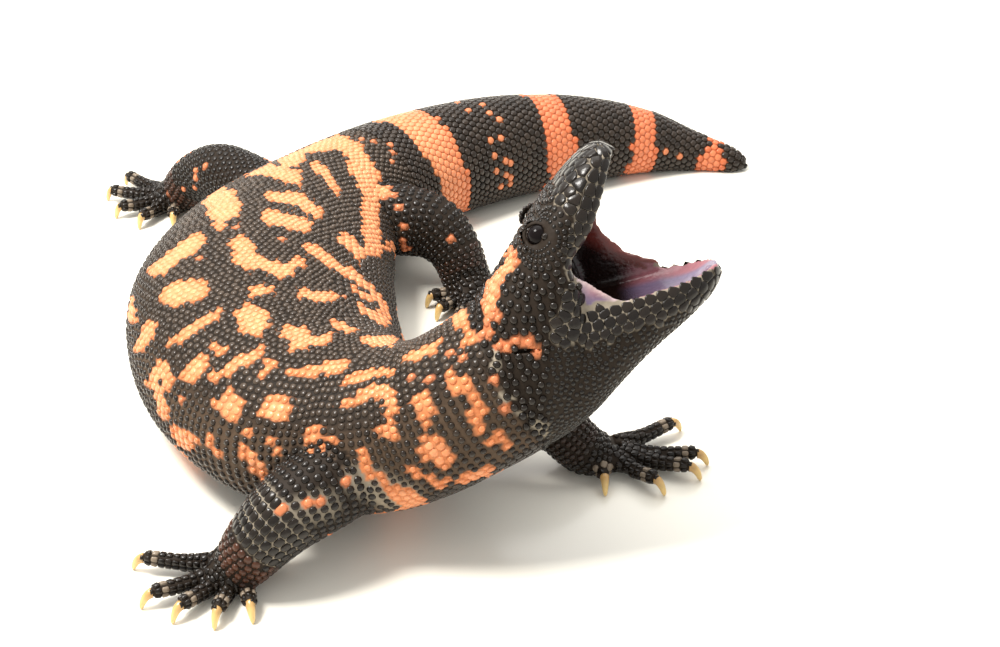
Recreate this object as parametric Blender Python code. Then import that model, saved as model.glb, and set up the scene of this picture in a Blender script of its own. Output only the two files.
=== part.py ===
"""A gila monster at life size, lying in an open C with its head thrown up and its mouth wide open.

Lengths are in millimetres up to the mesh, which is in metres. The animal is laid out on the floor with
X to its head's side, Y away from the viewer and Z up, and at the end the whole model is moved so that
the middle of its box stands on the origin. The trunk and tail are one long loft, parted into lengths by
thin flat cuts. The head is drawn in its own tilted side view and set on the end of the neck.
"""

import math

import bpy
import numpy as np
from mathutils import Vector

MM = 0.001
GAP = 0.35              # left between two nodes that touch
BEAD_HEIGHT = 0.9       # how far a raised scale stands out of the trunk
BEAD_PITCH = 5.2        # spacing of the loft's grid on the trunk: every second corner is a raised scale
TAIL_PITCH = 4.8
FLOOR = 0.0
FLAT_BELOW = 2.5        # no raised scales this close to the floor
SINK = 0.9              # how far the rows that lie on the floor are pressed flat on it
BELLY_SQUARE = 0.72     # below 1, the underside is flatter than an ellipse

# The spine from the tip of the tail to the neck:
# name, x, y, half width, height above and below the line, rise of the belly, roll. A row with no rise
# is pressed on the floor.
SPINE = (
    ("tip", 93.0, 107.5, 1.8, 1.8, 1.8, 0.6, 0.0),
    ("tail_end", 87.5, 108.5, 4.8, 4.8, 4.2, 0.0, 0.0),
    ("tail_4", 71.0, 111.5, 8.2, 8.2, 6.8, 0.0, 0.0),
    ("tail_3", 51.0, 110.5, 13.0, 13.0, 11.2, 0.0, 0.0),
    ("tail_2", 24.0, 103.5, 17.0, 17.2, 15.0, 0.0, 0.0),
    ("tail_1", -3.0, 92.5, 19.6, 19.6, 17.0, 0.0, 0.0),
    ("tail_root", -28.0, 77.5, 21.5, 21.0, 17.6, 0.0, 0.0),
    ("vent", -45.0, 62.5, 24.0, 21.0, 18.4, 0.0, 0.0),
    ("hips", -59.0, 43.0, 28.5, 21.5, 19.5, 0.0, 0.0),
    ("loin", -70.5, 15.0, 37.0, 23.5, 21.0, 0.0, 0.0),
    ("belly", -75.5, -18.5, 42.0, 25.5, 22.0, 0.0, 0.0),
    ("ribs", -69.5, -52.5, 41.0, 25.5, 22.5, 0.0, 0.0),
    ("chest", -54.5, -80.5, 36.0, 24.5, 22.5, 1.9, 0.0),
    ("shoulders", -35.0, -96.0, 29.5, 23.0, 22.0, 6.9, 2.0),
    ("neck_base", -20.5, -101.5, 25.5, 21.8, 21.5, 13.9, 6.0),
    ("neck_middle", -7.4, -103.3, 22.8, 21.5, 21.5, 22.7, 13.0),
    ("neck_top", 6.0, -100.7, 21.5, 22.5, 22.5, 29.9, 20.0),
)
SPINE_NAMES = [row[0] for row in SPINE]

# The lengths that the trunk and tail are parted into: node, from, to, sides of the loft, material
LENGTHS = (
    ("tail_tip", "tip", "tail_3", 16, "tail"),
    ("tail_middle", "tail_3", "tail_1", 20, "tail"),
    ("tail_base", "tail_1", "vent", 24, "tail"),
    ("torso_rear", "vent", "loin", 28, "skin"),
    ("torso_middle", "loin", "ribs", 40, "skin"),
    ("torso_front", "ribs", "neck_base", 40, "skin"),
    ("neck", "neck_base", "neck_top", 28, "skin"),
)

# The head's own side view: a point (x, z) there lies in the plane of the head, which leans back by LEAN
HEAD_ORIGIN = (20.5, -92.0, 75.5)     # on the midline, level with the corners of the mouth
LEAN = math.radians(20.0)

# Skull and upper jaw, from the neck to the snout: top point, lower point, half width,
# level of the widest place, share of the palate's hollow, depth of the hollow
SKULL = (
    ((-26.0, -6.0), (-2.4, -44.6), 21.5, 0.50, 0.0, 0.0),
    ((-21.5, 1.0), (4.0, -38.0), 22.5, 0.50, 0.0, 0.0),
    ((-17.0, 8.5), (7.0, -25.0), 23.0, 0.45, 0.0, 0.0),
    ((-13.4, 14.8), (3.0, -6.0), 22.5, 0.38, 0.3, 0.10),
    ((-9.8, 20.6), (-1.4, 5.6), 20.5, 0.32, 1.0, 0.26),
    ((-6.2, 25.8), (2.6, 12.0), 18.4, 0.30, 1.0, 0.26),
    ((-2.8, 30.2), (5.7, 18.8), 16.0, 0.30, 1.0, 0.26),
    ((0.6, 33.6), (7.3, 24.8), 13.6, 0.32, 1.0, 0.24),
    ((3.6, 35.7), (8.5, 29.4), 10.6, 0.35, 1.0, 0.18),
    ((6.6, 36.3), (9.4, 32.2), 7.4, 0.40, 0.8, 0.10),
    ((8.7, 35.3), (10.0, 33.6), 3.6, 0.50, 0.5, 0.05),
)

# Lower jaw and its throat, from the hinge to the chin: lip point, lower point, and the same four values
JAW = (
    ((-4.5, -5.5), (0.6, -41.6), 20.5, 0.40, 0.6, 0.08),
    ((2.5, -4.9), (6.0, -36.5), 21.3, 0.34, 1.0, 0.14),
    ((10.0, -3.3), (11.5, -30.0), 20.2, 0.32, 1.0, 0.17),
    ((17.2, -1.5), (17.2, -23.6), 18.2, 0.32, 1.0, 0.20),
    ((24.0, 0.2), (23.3, -17.6), 15.6, 0.34, 1.0, 0.24),
    ((29.8, 1.7), (29.0, -12.6), 12.8, 0.38, 1.0, 0.26),
    ((34.2, 3.4), (34.0, -8.0), 9.6, 0.42, 1.0, 0.24),
    ((37.2, 4.6), (37.4, -4.0), 6.4, 0.46, 0.7, 0.15),
    ((38.9, 4.4), (39.2, -0.6), 3.2, 0.50, 0.4, 0.05),
)
# The skin stretched across each corner of the mouth: points (x, z, distance from the midline)
WEBS = {
    1: (
        (-8.0, 6.0, 17.8), (-2.1, 4.4, 17.8), (-1.3, 3.4, 17.8), (1.9, 2.1, 17.8), (5.4, 0.0, 17.6),
        (9.2, -2.3, 17.4), (9.2, -3.0, 17.4), (2.5, -4.7, 17.6), (-8.0, -8.0, 17.8),
    ),
    -1: (
        (-8.0, 14.0, 16.4), (6.2, 14.0, 15.4), (7.0, 9.1, 16.6), (9.5, 7.8, 17.2), (11.8, 6.1, 17.2),
        (14.6, 3.7, 16.8), (18.6, 1.8, 15.8), (18.6, -0.4, 15.8), (10.0, -2.9, 17.2), (2.5, -4.7, 17.6),
        (-8.0, -8.0, 17.8),
    ),
}
WEB_THICKNESS = 1.2
HEAD_SIDES = 32
HEAD_PITCH = 7.6                      # between rings, measured along crown and lip together
SKULL_BEAD = 0.6
JAW_BEAD = 0.5
JAW_CLEARANCE = 0.7                   # how much wider than the jaw its room in the skull is
LIP_TURN = 0.34                       # share of a section's lower half that is the lip's outer face
LIP_SHARE = 0.87                      # the lip's inner edge, as a share of the half width

EYE = (-10.4, 13.6)                    # in the side view
EYE_OUT = 14.6                        # its distance from the midline
EYE_RADIUS = 3.0
LID_RADIUS = 3.5                      # of the ring of the lids
LID_THICKNESS = 0.85
LID_OUT = 1.3                         # how far the ring lies outside the eye's middle
LID_TILT = 0.6                        # how fast it falls towards the crown, whose direction this is:
LID_CROWN = (-0.6, 0.8)
LID_LONG = 1.08                       # its length over its height
NOSTRIL = (5.4, 34.2)
NOSTRIL_OUT = 8.7
NOSTRIL_SIZE = (1.4, 1.1, 1.7)
EAR = ((-19.2, -16.8), (-9.6, -15.6))  # the ends of the ear's slit
EAR_OUT = 22.0
EAR_DEPTH = (0.8, 2.0)                 # half height of the slit, and half its depth
GULLET = (-3.0, 1.0)
GULLET_SIZE = (12.0, 9.0, 15.0)        # along the side view's x and z, and across

# Legs. Each row is a point of the leg's line and its radius across and up.
LEGS = {
    "fore_right": (
        (-36.0, -105.0, 25.0, 13.0, 13.0),
        (-46.5, -118.5, 25.0, 12.4, 12.4),
        (-57.0, -127.0, 22.0, 11.4, 11.4),
        (-65.0, -130.8, 15.2, 10.0, 9.6),
        (-71.5, -130.5, 6.7, 9.4, 7.9),
        (-77.0, -129.8, 4.0, 8.6, 5.2),
    ),
    "fore_left": (
        (-26.0, -82.0, 26.0, 11.5, 11.5),
        (-11.0, -71.0, 26.0, 10.6, 11.0),
        (5.0, -71.5, 22.5, 9.4, 9.6),
        (15.5, -76.5, 15.5, 8.4, 8.4),
        (25.0, -78.5, 6.7, 8.2, 7.6),
        (32.5, -77.8, 3.9, 8.2, 5.1),
    ),
    "hind_right": (
        (-68.0, 38.0, 20.0, 13.0, 13.0),
        (-86.0, 55.0, 20.0, 11.6, 12.0),
        (-99.0, 67.0, 19.5, 10.6, 11.4),
        (-109.5, 75.0, 14.5, 8.8, 9.0),
        (-117.0, 78.5, 6.4, 8.2, 7.4),
        (-123.0, 79.5, 3.9, 8.0, 5.0),
    ),
    "hind_left": (
        (-50.0, 36.0, 19.0, 13.0, 13.0),
        (-36.0, 32.0, 21.5, 11.6, 12.4),
        (-23.5, 29.0, 20.5, 10.8, 11.4),
        (-15.5, 24.0, 14.5, 9.0, 9.4),
        (-11.5, 18.5, 6.5, 8.4, 7.5),
        (-9.0, 12.5, 3.9, 8.0, 5.0),
    ),
}
LEG_SIDES = 14
LEG_PITCH = 3.6
LEG_BEAD = 0.6
CUTTER_SIDES = 56     # of the grown copy of the trunk that the legs are cut by
TRUNK_SPANS = {"fore": ("ribs", "neck_top"), "hind": ("tail_root", "belly")}
KNEE_CUT = 2.05       # where a leg's line is parted, counted in its rows
ANKLE_CUT = 3.45

# Toes: direction of each on the floor in degrees, and its reach from the middle of the foot to its end
FEET = {
    "fore_right": ((-71.5, -128.8), ((175, 28.4), (208, 27.0), (230, 23.4), (257, 20.4), (284, 17.9))),
    "fore_left": ((30.0, -76.5), ((32, 27.4), (-3, 29.7), (-17, 28.2), (-42, 22.0), (-87, 14.0))),
    "hind_right": ((-119.0, 79.5), ((143, 25.1), (172, 24.8), (205, 21.4), (238, 19.3), (275, 15.5))),
    "hind_left": ((-10.5, 16.0), ((204, 14.5), (234, 17.0), (262, 20.5), (288, 21.5), (316, 19.5))),
}
TOE_RADIUS = 2.25
TOE_SIDES = 8
# Along a toe: share of its reach, height of its line, and what its radius has over TOE_RADIUS across and up
TOE_SHAPE = (
    (0.22, 4.0, 0.9, 1.6),
    (0.50, 3.6, 0.1, 0.7),
    (0.72, 4.0, 0.0, 0.2),
    (0.90, 4.6, 0.0, 0.1),
    (0.97, 4.6, -0.5, -0.4),
    (1.00, 4.5, -1.3, -1.2),
)
TOE_RINGS = 8
CLAW_FORWARD = 3.3    # how far a claw's tip lies ahead of the toe's end
CLAW_TURN = 1.35      # how far round its arc a claw runs, in radians
CLAW_RADIUS = 1.2
CLAW_TIP_RADIUS = 0.16
CLAW_HEIGHT = 4.4     # height of a claw's line where it leaves the toe
CLAW_TIP_HEIGHT = 0.25
CLAW_RINGS = 6
CLAW_SIDES = 8
DIGITS = ("1", "2", "3", "4", "5")

COLOURS = {
    "skin": ((0.08, 0.06, 0.05), 0.55),
    "tail": ((0.45, 0.16, 0.07), 0.55),
    "head": ((0.05, 0.04, 0.035), 0.45),
    "leg": ((0.07, 0.055, 0.05), 0.55),
    "claw": ((0.72, 0.48, 0.18), 0.35),
    "eye": ((0.01, 0.01, 0.01), 0.08),
}


def material(name):
    colour, roughness = COLOURS[name]
    made = bpy.data.materials.get(name) or bpy.data.materials.new(name)
    made.use_nodes = True
    shader = made.node_tree.nodes["Principled BSDF"]
    shader.inputs["Base Color"].default_value = (*colour, 1.0)
    shader.inputs["Roughness"].default_value = roughness
    shader.inputs["Metallic"].default_value = 0.0
    return made


def smooth_rows(rows, places):
    """The rows of numbers read along a smooth curve through them, at fractional row numbers."""
    rows = np.asarray(rows, float)
    places = np.clip(np.asarray(places, float), 0.0, len(rows) - 1.0)
    first = np.minimum(places.astype(int), len(rows) - 2)
    t = (places - first)[:, None]
    padded = np.vstack([2 * rows[0] - rows[1], rows, 2 * rows[-1] - rows[-2]])
    a, b, c, d = (padded[first + k] for k in range(4))
    return 0.5 * (2 * b + (c - a) * t + (2 * a - 5 * b + 4 * c - d) * t**2 + (3 * b - a - 3 * c + d) * t**3)


def spine_rows():
    """Centre, half width, height up, height down and roll of each row of the spine."""
    rows = []
    for _, x, y, width, up, down, rise, roll in SPINE:
        rows.append((x, y, FLOOR + rise + down - SINK, width, up, down, math.radians(roll)))
    return rows


def even_places(rows, start, end, pitch):
    """Row numbers from start to end, one for about every pitch of length."""
    fine = np.linspace(start, end, 200)
    points = smooth_rows(rows, fine)[:, :3]
    run = np.concatenate([[0.0], np.cumsum(np.linalg.norm(np.diff(points, axis=0), axis=1))])
    count = max(3, int(round(run[-1] / pitch)) + 1)
    return np.interp(np.linspace(0.0, run[-1], count), run, fine)


def shift_place(rows, place, distance):
    """The row number that lies this distance further along the curve."""
    step = 0.02
    ends = smooth_rows(rows, [place - step / 2, place + step / 2])[:, :3]
    return place + distance * step / np.linalg.norm(ends[1] - ends[0])


def frames(rows, places):
    """The curve's points with the directions left and up of each section."""
    step = 0.02
    here = smooth_rows(rows, places)
    ahead = smooth_rows(rows, np.asarray(places) + step)[:, :3]
    behind = smooth_rows(rows, np.asarray(places) - step)[:, :3]
    along = ahead - behind
    along /= np.linalg.norm(along, axis=1)[:, None]
    left = np.cross((0.0, 0.0, 1.0), along)
    left /= np.linalg.norm(left, axis=1)[:, None]
    return here, left, np.cross(along, left)


def body_rings(places, sides, grow=0.0, bead=0.0):
    """The sections of the trunk and tail, wider by grow, with every second corner raised by bead."""
    here, left, up = frames(spine_rows(), places)
    angles = np.arange(sides) * 2 * math.pi / sides
    rings = []
    for number, row in enumerate(here):
        roll = row[6]
        side = left[number] * math.cos(roll) - up[number] * math.sin(roll)
        top = up[number] * math.cos(roll) + left[number] * math.sin(roll)
        ring = []
        for corner, angle in enumerate(angles):
            across, rise = math.cos(angle), math.sin(angle)
            bulge = grow
            if bead and 0 < number < len(here) - 1 and (number + corner) % 2 == 0:
                bulge += bead
            height = row[4] if rise > 0 else row[5]
            square = 1.0 if rise > 0 else BELLY_SQUARE
            flat = side * across * row[3] + top * math.copysign(abs(rise) ** square, rise) * height
            outward = side * across / row[3] + top * rise / height
            outward /= np.linalg.norm(outward)
            low = row[2] + flat[2] < FLAT_BELOW
            point = row[:3] + flat + outward * (grow if low else bulge)
            point[2] = max(point[2], FLOOR - grow)
            ring.append(point)
        rings.append(ring)
    return np.array(rings)


def mesh_from_rings(name, rings):
    """One closed mesh: the rings joined by quads, and a fan over each end."""
    count, sides, _ = rings.shape
    ends = np.array([rings[0].mean(axis=0), rings[-1].mean(axis=0)])
    points = np.vstack([rings.reshape(-1, 3), ends]) * MM
    faces = []
    for ring in range(count - 1):
        for corner in range(sides):
            after = (corner + 1) % sides
            a, b = ring * sides + corner, ring * sides + after
            faces.append((a, b, b + sides, a + sides))
    first, last = count * sides, count * sides + 1
    for corner in range(sides):
        after = (corner + 1) % sides
        faces.append((first, after, corner))
        base = (count - 1) * sides
        faces.append((last, base + corner, base + after))
    mesh = bpy.data.meshes.new(name)
    mesh.from_pydata([tuple(p) for p in points], [], faces)
    mesh.update()
    volume = sum(
        mesh.vertices[f.vertices[0]].co.dot(
            mesh.vertices[f.vertices[i]].co.cross(mesh.vertices[f.vertices[i + 1]].co)
        )
        for f in mesh.polygons
        for i in range(1, len(f.vertices) - 1)
    )
    if volume < 0:
        mesh.flip_normals()
    return mesh


def add_object(name, mesh, collection, finish=None):
    made = bpy.data.objects.new(name, mesh)
    collection.objects.link(made)
    if finish:
        mesh.materials.clear()
        mesh.materials.append(material(finish))
    return made


def apply_modifiers(thing):
    """Replaces the object's mesh by its evaluated one."""
    graph = bpy.context.evaluated_depsgraph_get()
    mesh = bpy.data.meshes.new_from_object(thing.evaluated_get(graph))
    thing.modifiers.clear()
    thing.data = mesh


def boolean(thing, operation, others):
    """Joins closed meshes to the object, or cuts them out of it, and removes them."""
    group = bpy.data.collections.new("pieces")
    for other in others:
        group.objects.link(other)
    step = thing.modifiers.new(operation.lower(), "BOOLEAN")
    step.operation = operation
    step.operand_type = "COLLECTION"
    step.collection = group
    step.solver = "EXACT"
    apply_modifiers(thing)
    for other in others:
        bpy.data.objects.remove(other)
    bpy.data.collections.remove(group)
    keep_largest(thing)


def keep_largest(thing):
    """Leaves the object's largest closed surface alone."""
    mesh = thing.data
    parent = list(range(len(mesh.vertices)))

    def root(v):
        while parent[v] != v:
            parent[v] = parent[parent[v]]
            v = parent[v]
        return v

    for edge in mesh.edges:
        a, b = root(edge.vertices[0]), root(edge.vertices[1])
        parent[a] = b
    groups = {}
    for vertex in mesh.vertices:
        groups.setdefault(root(vertex.index), []).append(vertex.index)
    if len(groups) < 2:
        return

    def size(members):
        points = np.array([mesh.vertices[v].co for v in members])
        return float(np.prod(np.ptp(points, axis=0) + MM))

    largest = max(groups.values(), key=size)
    keep = {v: n for n, v in enumerate(largest)}
    points = [mesh.vertices[v].co.copy() for v in largest]
    faces = [[keep[v] for v in f.vertices] for f in mesh.polygons if f.vertices[0] in keep]
    clean = bpy.data.meshes.new(mesh.name)
    clean.from_pydata(points, [], faces)
    for slot in mesh.materials:
        clean.materials.append(slot)
    thing.data = clean


def shade(thing):
    thing.data.shade_smooth()
    thing.data.set_sharp_from_angle(angle=math.radians(50))


def place_of(name):
    return float(SPINE_NAMES.index(name))


def trunk_and_tail(parts):
    """The lengths of the body, each with its raised scales and a thin gap to the next."""
    rows = spine_rows()
    for node, start, end, sides, finish in LENGTHS:
        first = place_of(start)
        last = place_of(end)
        if start != "tip":
            first = shift_place(rows, first, GAP / 2)
        last = shift_place(rows, last, -GAP / 2)
        pitch = TAIL_PITCH if finish == "tail" else BEAD_PITCH
        places = even_places(rows, first, last, pitch)
        rings = body_rings(places, sides, bead=BEAD_HEIGHT)
        shade(add_object(node, mesh_from_rings(node, rings), parts, finish))


def tube_rings(rows, places, sides, bead=0.0, turn=0.0):
    """Sections of a leg or toe: rows of x, y, z, radius across and radius up."""
    here, left, up = frames(rows, places)
    rings = []
    for number, row in enumerate(here):
        ring = []
        for corner in range(sides):
            angle = turn + corner * 2 * math.pi / sides
            bulge = 0.0
            if 0 < number < len(here) - 1 and (number + corner) % 2 == 0:
                bulge = bead
            across, rise = math.cos(angle), math.sin(angle)
            offset = left[number] * across * (row[3] + bulge) + up[number] * rise * (row[4] + bulge)
            point = row[:3] + offset
            point[2] = max(point[2], FLOOR)
            ring.append(point)
        rings.append(ring)
    return np.array(rings)


def rounded_front(rings):
    """Adds a smaller ring ahead of the last one, so that the palm ends round."""
    last, before = rings[-1].mean(axis=0), rings[-2].mean(axis=0)
    front = last + (rings[-1] - last) * 0.5 + (last - before) * 0.6
    front[:, 2] = np.maximum(front[:, 2], FLOOR)
    return np.concatenate([rings, [front]])


def toe_rows(centre, direction, reach):
    """A toe from the middle of the foot to its rounded end, on the floor at its last joint."""
    across = np.array([math.cos(direction), math.sin(direction)])
    shape = [
        (share * reach, height, TOE_RADIUS + wider, TOE_RADIUS + taller)
        for share, height, wider, taller in TOE_SHAPE
    ]
    return [(*(centre + across * out), height, wide, tall) for out, height, wide, tall in shape]


def claw_mesh(name, centre, direction, reach):
    """A curved, pointed claw that leaves the toe's end and comes down to the floor."""
    across = np.array([math.cos(direction), math.sin(direction)])
    sideways = np.array([-across[1], across[0], 0.0])
    rings = []
    for t in np.linspace(0.0, 1.0, CLAW_RINGS):
        turn = CLAW_TURN * t
        out = reach + GAP + CLAW_FORWARD * math.sin(turn) / math.sin(CLAW_TURN)
        height = CLAW_HEIGHT - (CLAW_HEIGHT - CLAW_TIP_HEIGHT) * (1 - math.cos(turn)) / (1 - math.cos(CLAW_TURN))
        radius = CLAW_RADIUS * (1 - t) ** 0.8 + CLAW_TIP_RADIUS
        ring = []
        for corner in range(CLAW_SIDES):
            angle = corner * 2 * math.pi / CLAW_SIDES
            side, lift = math.cos(angle) * radius, math.sin(angle) * radius
            ahead = np.array([*(across * lift * math.sin(turn)), lift * math.cos(turn)])
            spot = np.array([*(centre + across * out), height]) + sideways * side + ahead
            spot[2] = max(spot[2], FLOOR)
            ring.append(spot)
        rings.append(ring)
    return mesh_from_rings(name, np.array(rings))


def legs(parts, scratch):
    """Upper leg, lower leg, foot with its toes, and five claws, four times."""
    for leg, rows in LEGS.items():
        half = GAP / 2
        spans = {
            "upper": (0.0, shift_place(rows, KNEE_CUT, -half)),
            "lower": (shift_place(rows, KNEE_CUT, half), shift_place(rows, ANKLE_CUT, -half)),
            "foot": (shift_place(rows, ANKLE_CUT, half), float(len(rows) - 1)),
        }
        made = {}
        for kind, (start, end) in spans.items():
            places = even_places(rows, start, end, LEG_PITCH)
            bead = 0.0 if kind == "foot" else LEG_BEAD
            rings = tube_rings(rows, places, LEG_SIDES, bead=bead)
            if kind == "foot":
                rings = rounded_front(rings)
            name = f"leg_{leg}_{kind}" if kind != "foot" else f"foot_{leg}"
            made[kind] = add_object(name, mesh_from_rings(name, rings), parts, "leg")
        first, last = TRUNK_SPANS[leg.split("_")[0]]
        places = even_places(spine_rows(), place_of(first), place_of(last), BEAD_PITCH)
        cutter_rings = body_rings(places, CUTTER_SIDES, grow=GAP + BEAD_HEIGHT)
        cutter = add_object("trunk_cutter", mesh_from_rings("trunk_cutter", cutter_rings), scratch)
        boolean(made["upper"], "DIFFERENCE", [cutter])
        centre, toes = FEET[leg]
        centre = np.array(centre)
        toe_objects = []
        for digit, (degrees, reach) in zip(DIGITS, toes):
            direction = math.radians(degrees)
            rows_of_toe = toe_rows(centre, direction, reach)
            places = np.linspace(0.0, len(rows_of_toe) - 1.0, TOE_RINGS)
            rings = tube_rings(rows_of_toe, places, TOE_SIDES, turn=math.pi / TOE_SIDES)
            toe_objects.append(add_object("toe", mesh_from_rings("toe", rings), scratch))
            claw = f"claw_{leg}_{digit}"
            shade(add_object(claw, claw_mesh(claw, centre, direction, reach), parts, "claw"))
        boolean(made["foot"], "UNION", toe_objects)
        for thing in made.values():
            shade(thing)


def head_point(x, z, out):
    """A point of the head's side view, at a distance from the midline, the right side positive."""
    ox, oy, oz = HEAD_ORIGIN
    return np.array([
        ox + x,
        oy + z * math.sin(LEAN) - out * math.cos(LEAN),
        oz + z * math.cos(LEAN) + out * math.sin(LEAN),
    ])


def head_rings(sections, grow=0.0, bead=0.0):
    """Rings from pairs of profile points: domed on one side, and hollow on the other where asked.

    The first point of a skull section is its crown; a jaw section is turned over, so that its
    first point is its lip."""
    values = [(*a, *b, width, waist, hollow, depth) for a, b, width, waist, hollow, depth in sections]
    places = even_places([(r[0] + r[2], r[1] + r[3], 0.0) for r in values], 0.0, len(values) - 1.0, HEAD_PITCH)
    rings = []
    for number, row in enumerate(smooth_rows(values, places)):
        crown, foot = np.array(row[0:2]), np.array(row[2:4])
        width, waist, hollow, depth = row[4:8]
        span = crown - foot
        length = np.linalg.norm(span)
        unit = span / length
        foot = foot - unit * grow
        length += 2 * grow
        inner = (LIP_SHARE * width - grow) / (width + grow)
        width += grow
        ring = []
        for corner in range(HEAD_SIDES):
            angle = corner * 2 * math.pi / HEAD_SIDES
            across, rise = math.cos(angle), math.sin(angle)
            if rise >= 0:
                out = math.copysign(abs(across) ** 0.75, across)
                level = waist + (1 - waist) * rise**0.8
            else:
                out, level = lower_side(across, -rise, waist, hollow, depth, inner)
            lift = 0.0
            if bead and 0 < number < len(places) - 1 and (number + corner) % 2 == 0 and rise > -0.1:
                lift = bead
            spot = foot + unit * (level * length + lift * max(rise, 0.0))
            ring.append(head_point(spot[0], spot[1], -out * (width + lift * abs(across))))
        rings.append(ring)
    rings = np.array(rings)
    if grow:
        back = rings[0].mean(axis=0) - rings[1].mean(axis=0)
        rings[0] += back / np.linalg.norm(back) * GAP
    return rings


def lower_side(across, rise, waist, hollow, depth, inner):
    """The lower half of a head section: round, or a lip with a hollow inside it, or between them."""
    turn = math.asin(min(1.0, rise)) / (math.pi / 2)
    sign = math.copysign(1.0, across)
    round_out = sign * math.cos(turn * math.pi / 2) ** 0.85
    round_level = waist * (1 - math.sin(turn * math.pi / 2) ** 0.85)
    if turn < LIP_TURN:
        share = turn / LIP_TURN
        hollow_out = sign * (1 - (1 - LIP_SHARE) * share**2)
        hollow_level = waist * (1 - share)
    else:
        share = (turn - LIP_TURN) / (1 - LIP_TURN)
        hollow_out = sign * inner * math.cos(share * math.pi / 2)
        hollow_level = depth * math.sin(share * math.pi / 2)
    out = round_out * (1 - hollow) + hollow_out * hollow
    level = round_level * (1 - hollow) + hollow_level * hollow
    return out, level


def turned_over(sections):
    """Jaw sections with their keel as the domed side and their lips as the hollow side."""
    return [(low, lip, width, waist, hollow, depth) for lip, low, width, waist, hollow, depth in sections]


def ball(name, centre, sizes, scratch, turn=0.0, segments=16):
    """A closed ball or egg in head directions, turned within the side view."""
    rings = []
    for step in range(1, segments // 2):
        polar = step * math.pi / (segments // 2)
        ring = []
        for corner in range(segments):
            angle = corner * 2 * math.pi / segments
            a = sizes[0] * math.sin(polar) * math.cos(angle)
            b = sizes[1] * math.sin(polar) * math.sin(angle)
            x = centre[0] + a * math.cos(turn) - b * math.sin(turn)
            z = centre[1] + a * math.sin(turn) + b * math.cos(turn)
            ring.append(head_point(x, z, centre[2] + sizes[2] * math.cos(polar)))
        rings.append(ring)
    return add_object(name, mesh_from_rings(name, np.array(rings)), scratch)


def lid_ring(side, scratch):
    """The thick edge of the lids round an eye, a ring that lies on the side of the head."""
    rings = []
    turns, sides = 18, 8
    for turn in range(turns):
        around = turn * 2 * math.pi / turns
        ring = []
        for corner in range(sides):
            angle = corner * 2 * math.pi / sides
            radius = LID_RADIUS + LID_THICKNESS * math.cos(angle)
            x, z = radius * math.cos(around) * LID_LONG, radius * math.sin(around)
            fall = LID_TILT * (x * LID_CROWN[0] + z * LID_CROWN[1])
            out = EYE_OUT + LID_OUT - fall + LID_THICKNESS * math.sin(angle)
            ring.append(head_point(EYE[0] + x, EYE[1] + z, side * out))
        rings.append(ring)
    return add_object("lids", ring_mesh("lids", np.array(rings)), scratch)


def cheek_web(side, scratch):
    """The skin stretched between the jaws just inside the corner of the mouth."""
    rings = [
        [head_point(x, z, side * (out + edge)) for x, z, out in WEBS[side]]
        for edge in (-WEB_THICKNESS / 2, WEB_THICKNESS / 2)
    ]
    return add_object("web", mesh_from_rings("web", np.array(rings)), scratch)


def ring_mesh(name, rings):
    """A closed tube whose last ring meets its first."""
    count, sides, _ = rings.shape
    faces = []
    for ring in range(count):
        beyond = (ring + 1) % count
        for corner in range(sides):
            after = (corner + 1) % sides
            faces.append((
                ring * sides + corner, ring * sides + after,
                beyond * sides + after, beyond * sides + corner,
            ))
    mesh = bpy.data.meshes.new(name)
    mesh.from_pydata([tuple(p * MM) for p in rings.reshape(-1, 3)], [], faces)
    mesh.update()
    centre = sum((v.co for v in mesh.vertices), Vector()) / len(mesh.vertices)
    outermost = max(mesh.polygons, key=lambda f: (f.center - centre).length)
    if outermost.normal.dot(outermost.center - centre) < 0:
        mesh.flip_normals()
    return mesh


def head(parts, scratch):
    """Skull with upper jaw, lids, nostrils and ears, the lower jaw, and the two eyes."""
    skull = add_object("head", mesh_from_rings("head", head_rings(SKULL, bead=SKULL_BEAD)), parts, "head")
    jaw_sections = turned_over(JAW)
    jaw_rings = head_rings(jaw_sections, bead=JAW_BEAD)
    jaw = add_object("lower_jaw", mesh_from_rings("lower_jaw", jaw_rings), parts, "head")
    webs = [cheek_web(side, scratch) for side in (1, -1)]
    boolean(skull, "UNION", webs + [lid_ring(side, scratch) for side in (1, -1)])
    room = mesh_from_rings("jaw_room", head_rings(jaw_sections, JAW_CLEARANCE))
    cutters = [add_object("jaw_room", room, scratch)]
    cutters.append(ball("gullet", (*GULLET, 0.0), GULLET_SIZE, scratch))
    ear_turn = math.atan2(EAR[1][1] - EAR[0][1], EAR[1][0] - EAR[0][0])
    ear_middle = ((EAR[0][0] + EAR[1][0]) / 2, (EAR[0][1] + EAR[1][1]) / 2)
    ear_half = (EAR[1][0] - EAR[0][0]) / 2
    for side in (1, -1):
        socket = EYE_RADIUS + GAP
        cutters.append(ball("socket", (*EYE, side * EYE_OUT), (socket, socket, socket), scratch))
        cutters.append(ball("nostril", (*NOSTRIL, side * NOSTRIL_OUT), NOSTRIL_SIZE, scratch, segments=10))
        cutters.append(ball("ear", (*ear_middle, side * EAR_OUT), (ear_half, *EAR_DEPTH), scratch, ear_turn, 12))
    boolean(skull, "DIFFERENCE", cutters)
    shade(skull)
    shade(jaw)
    for side, name in ((1, "eye_right"), (-1, "eye_left")):
        eye = ball("eye", (*EYE, side * EYE_OUT), (EYE_RADIUS,) * 3, scratch)
        eye.name = name
        scratch.objects.unlink(eye)
        parts.objects.link(eye)
        eye.data.materials.append(material("eye"))
        shade(eye)


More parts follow.
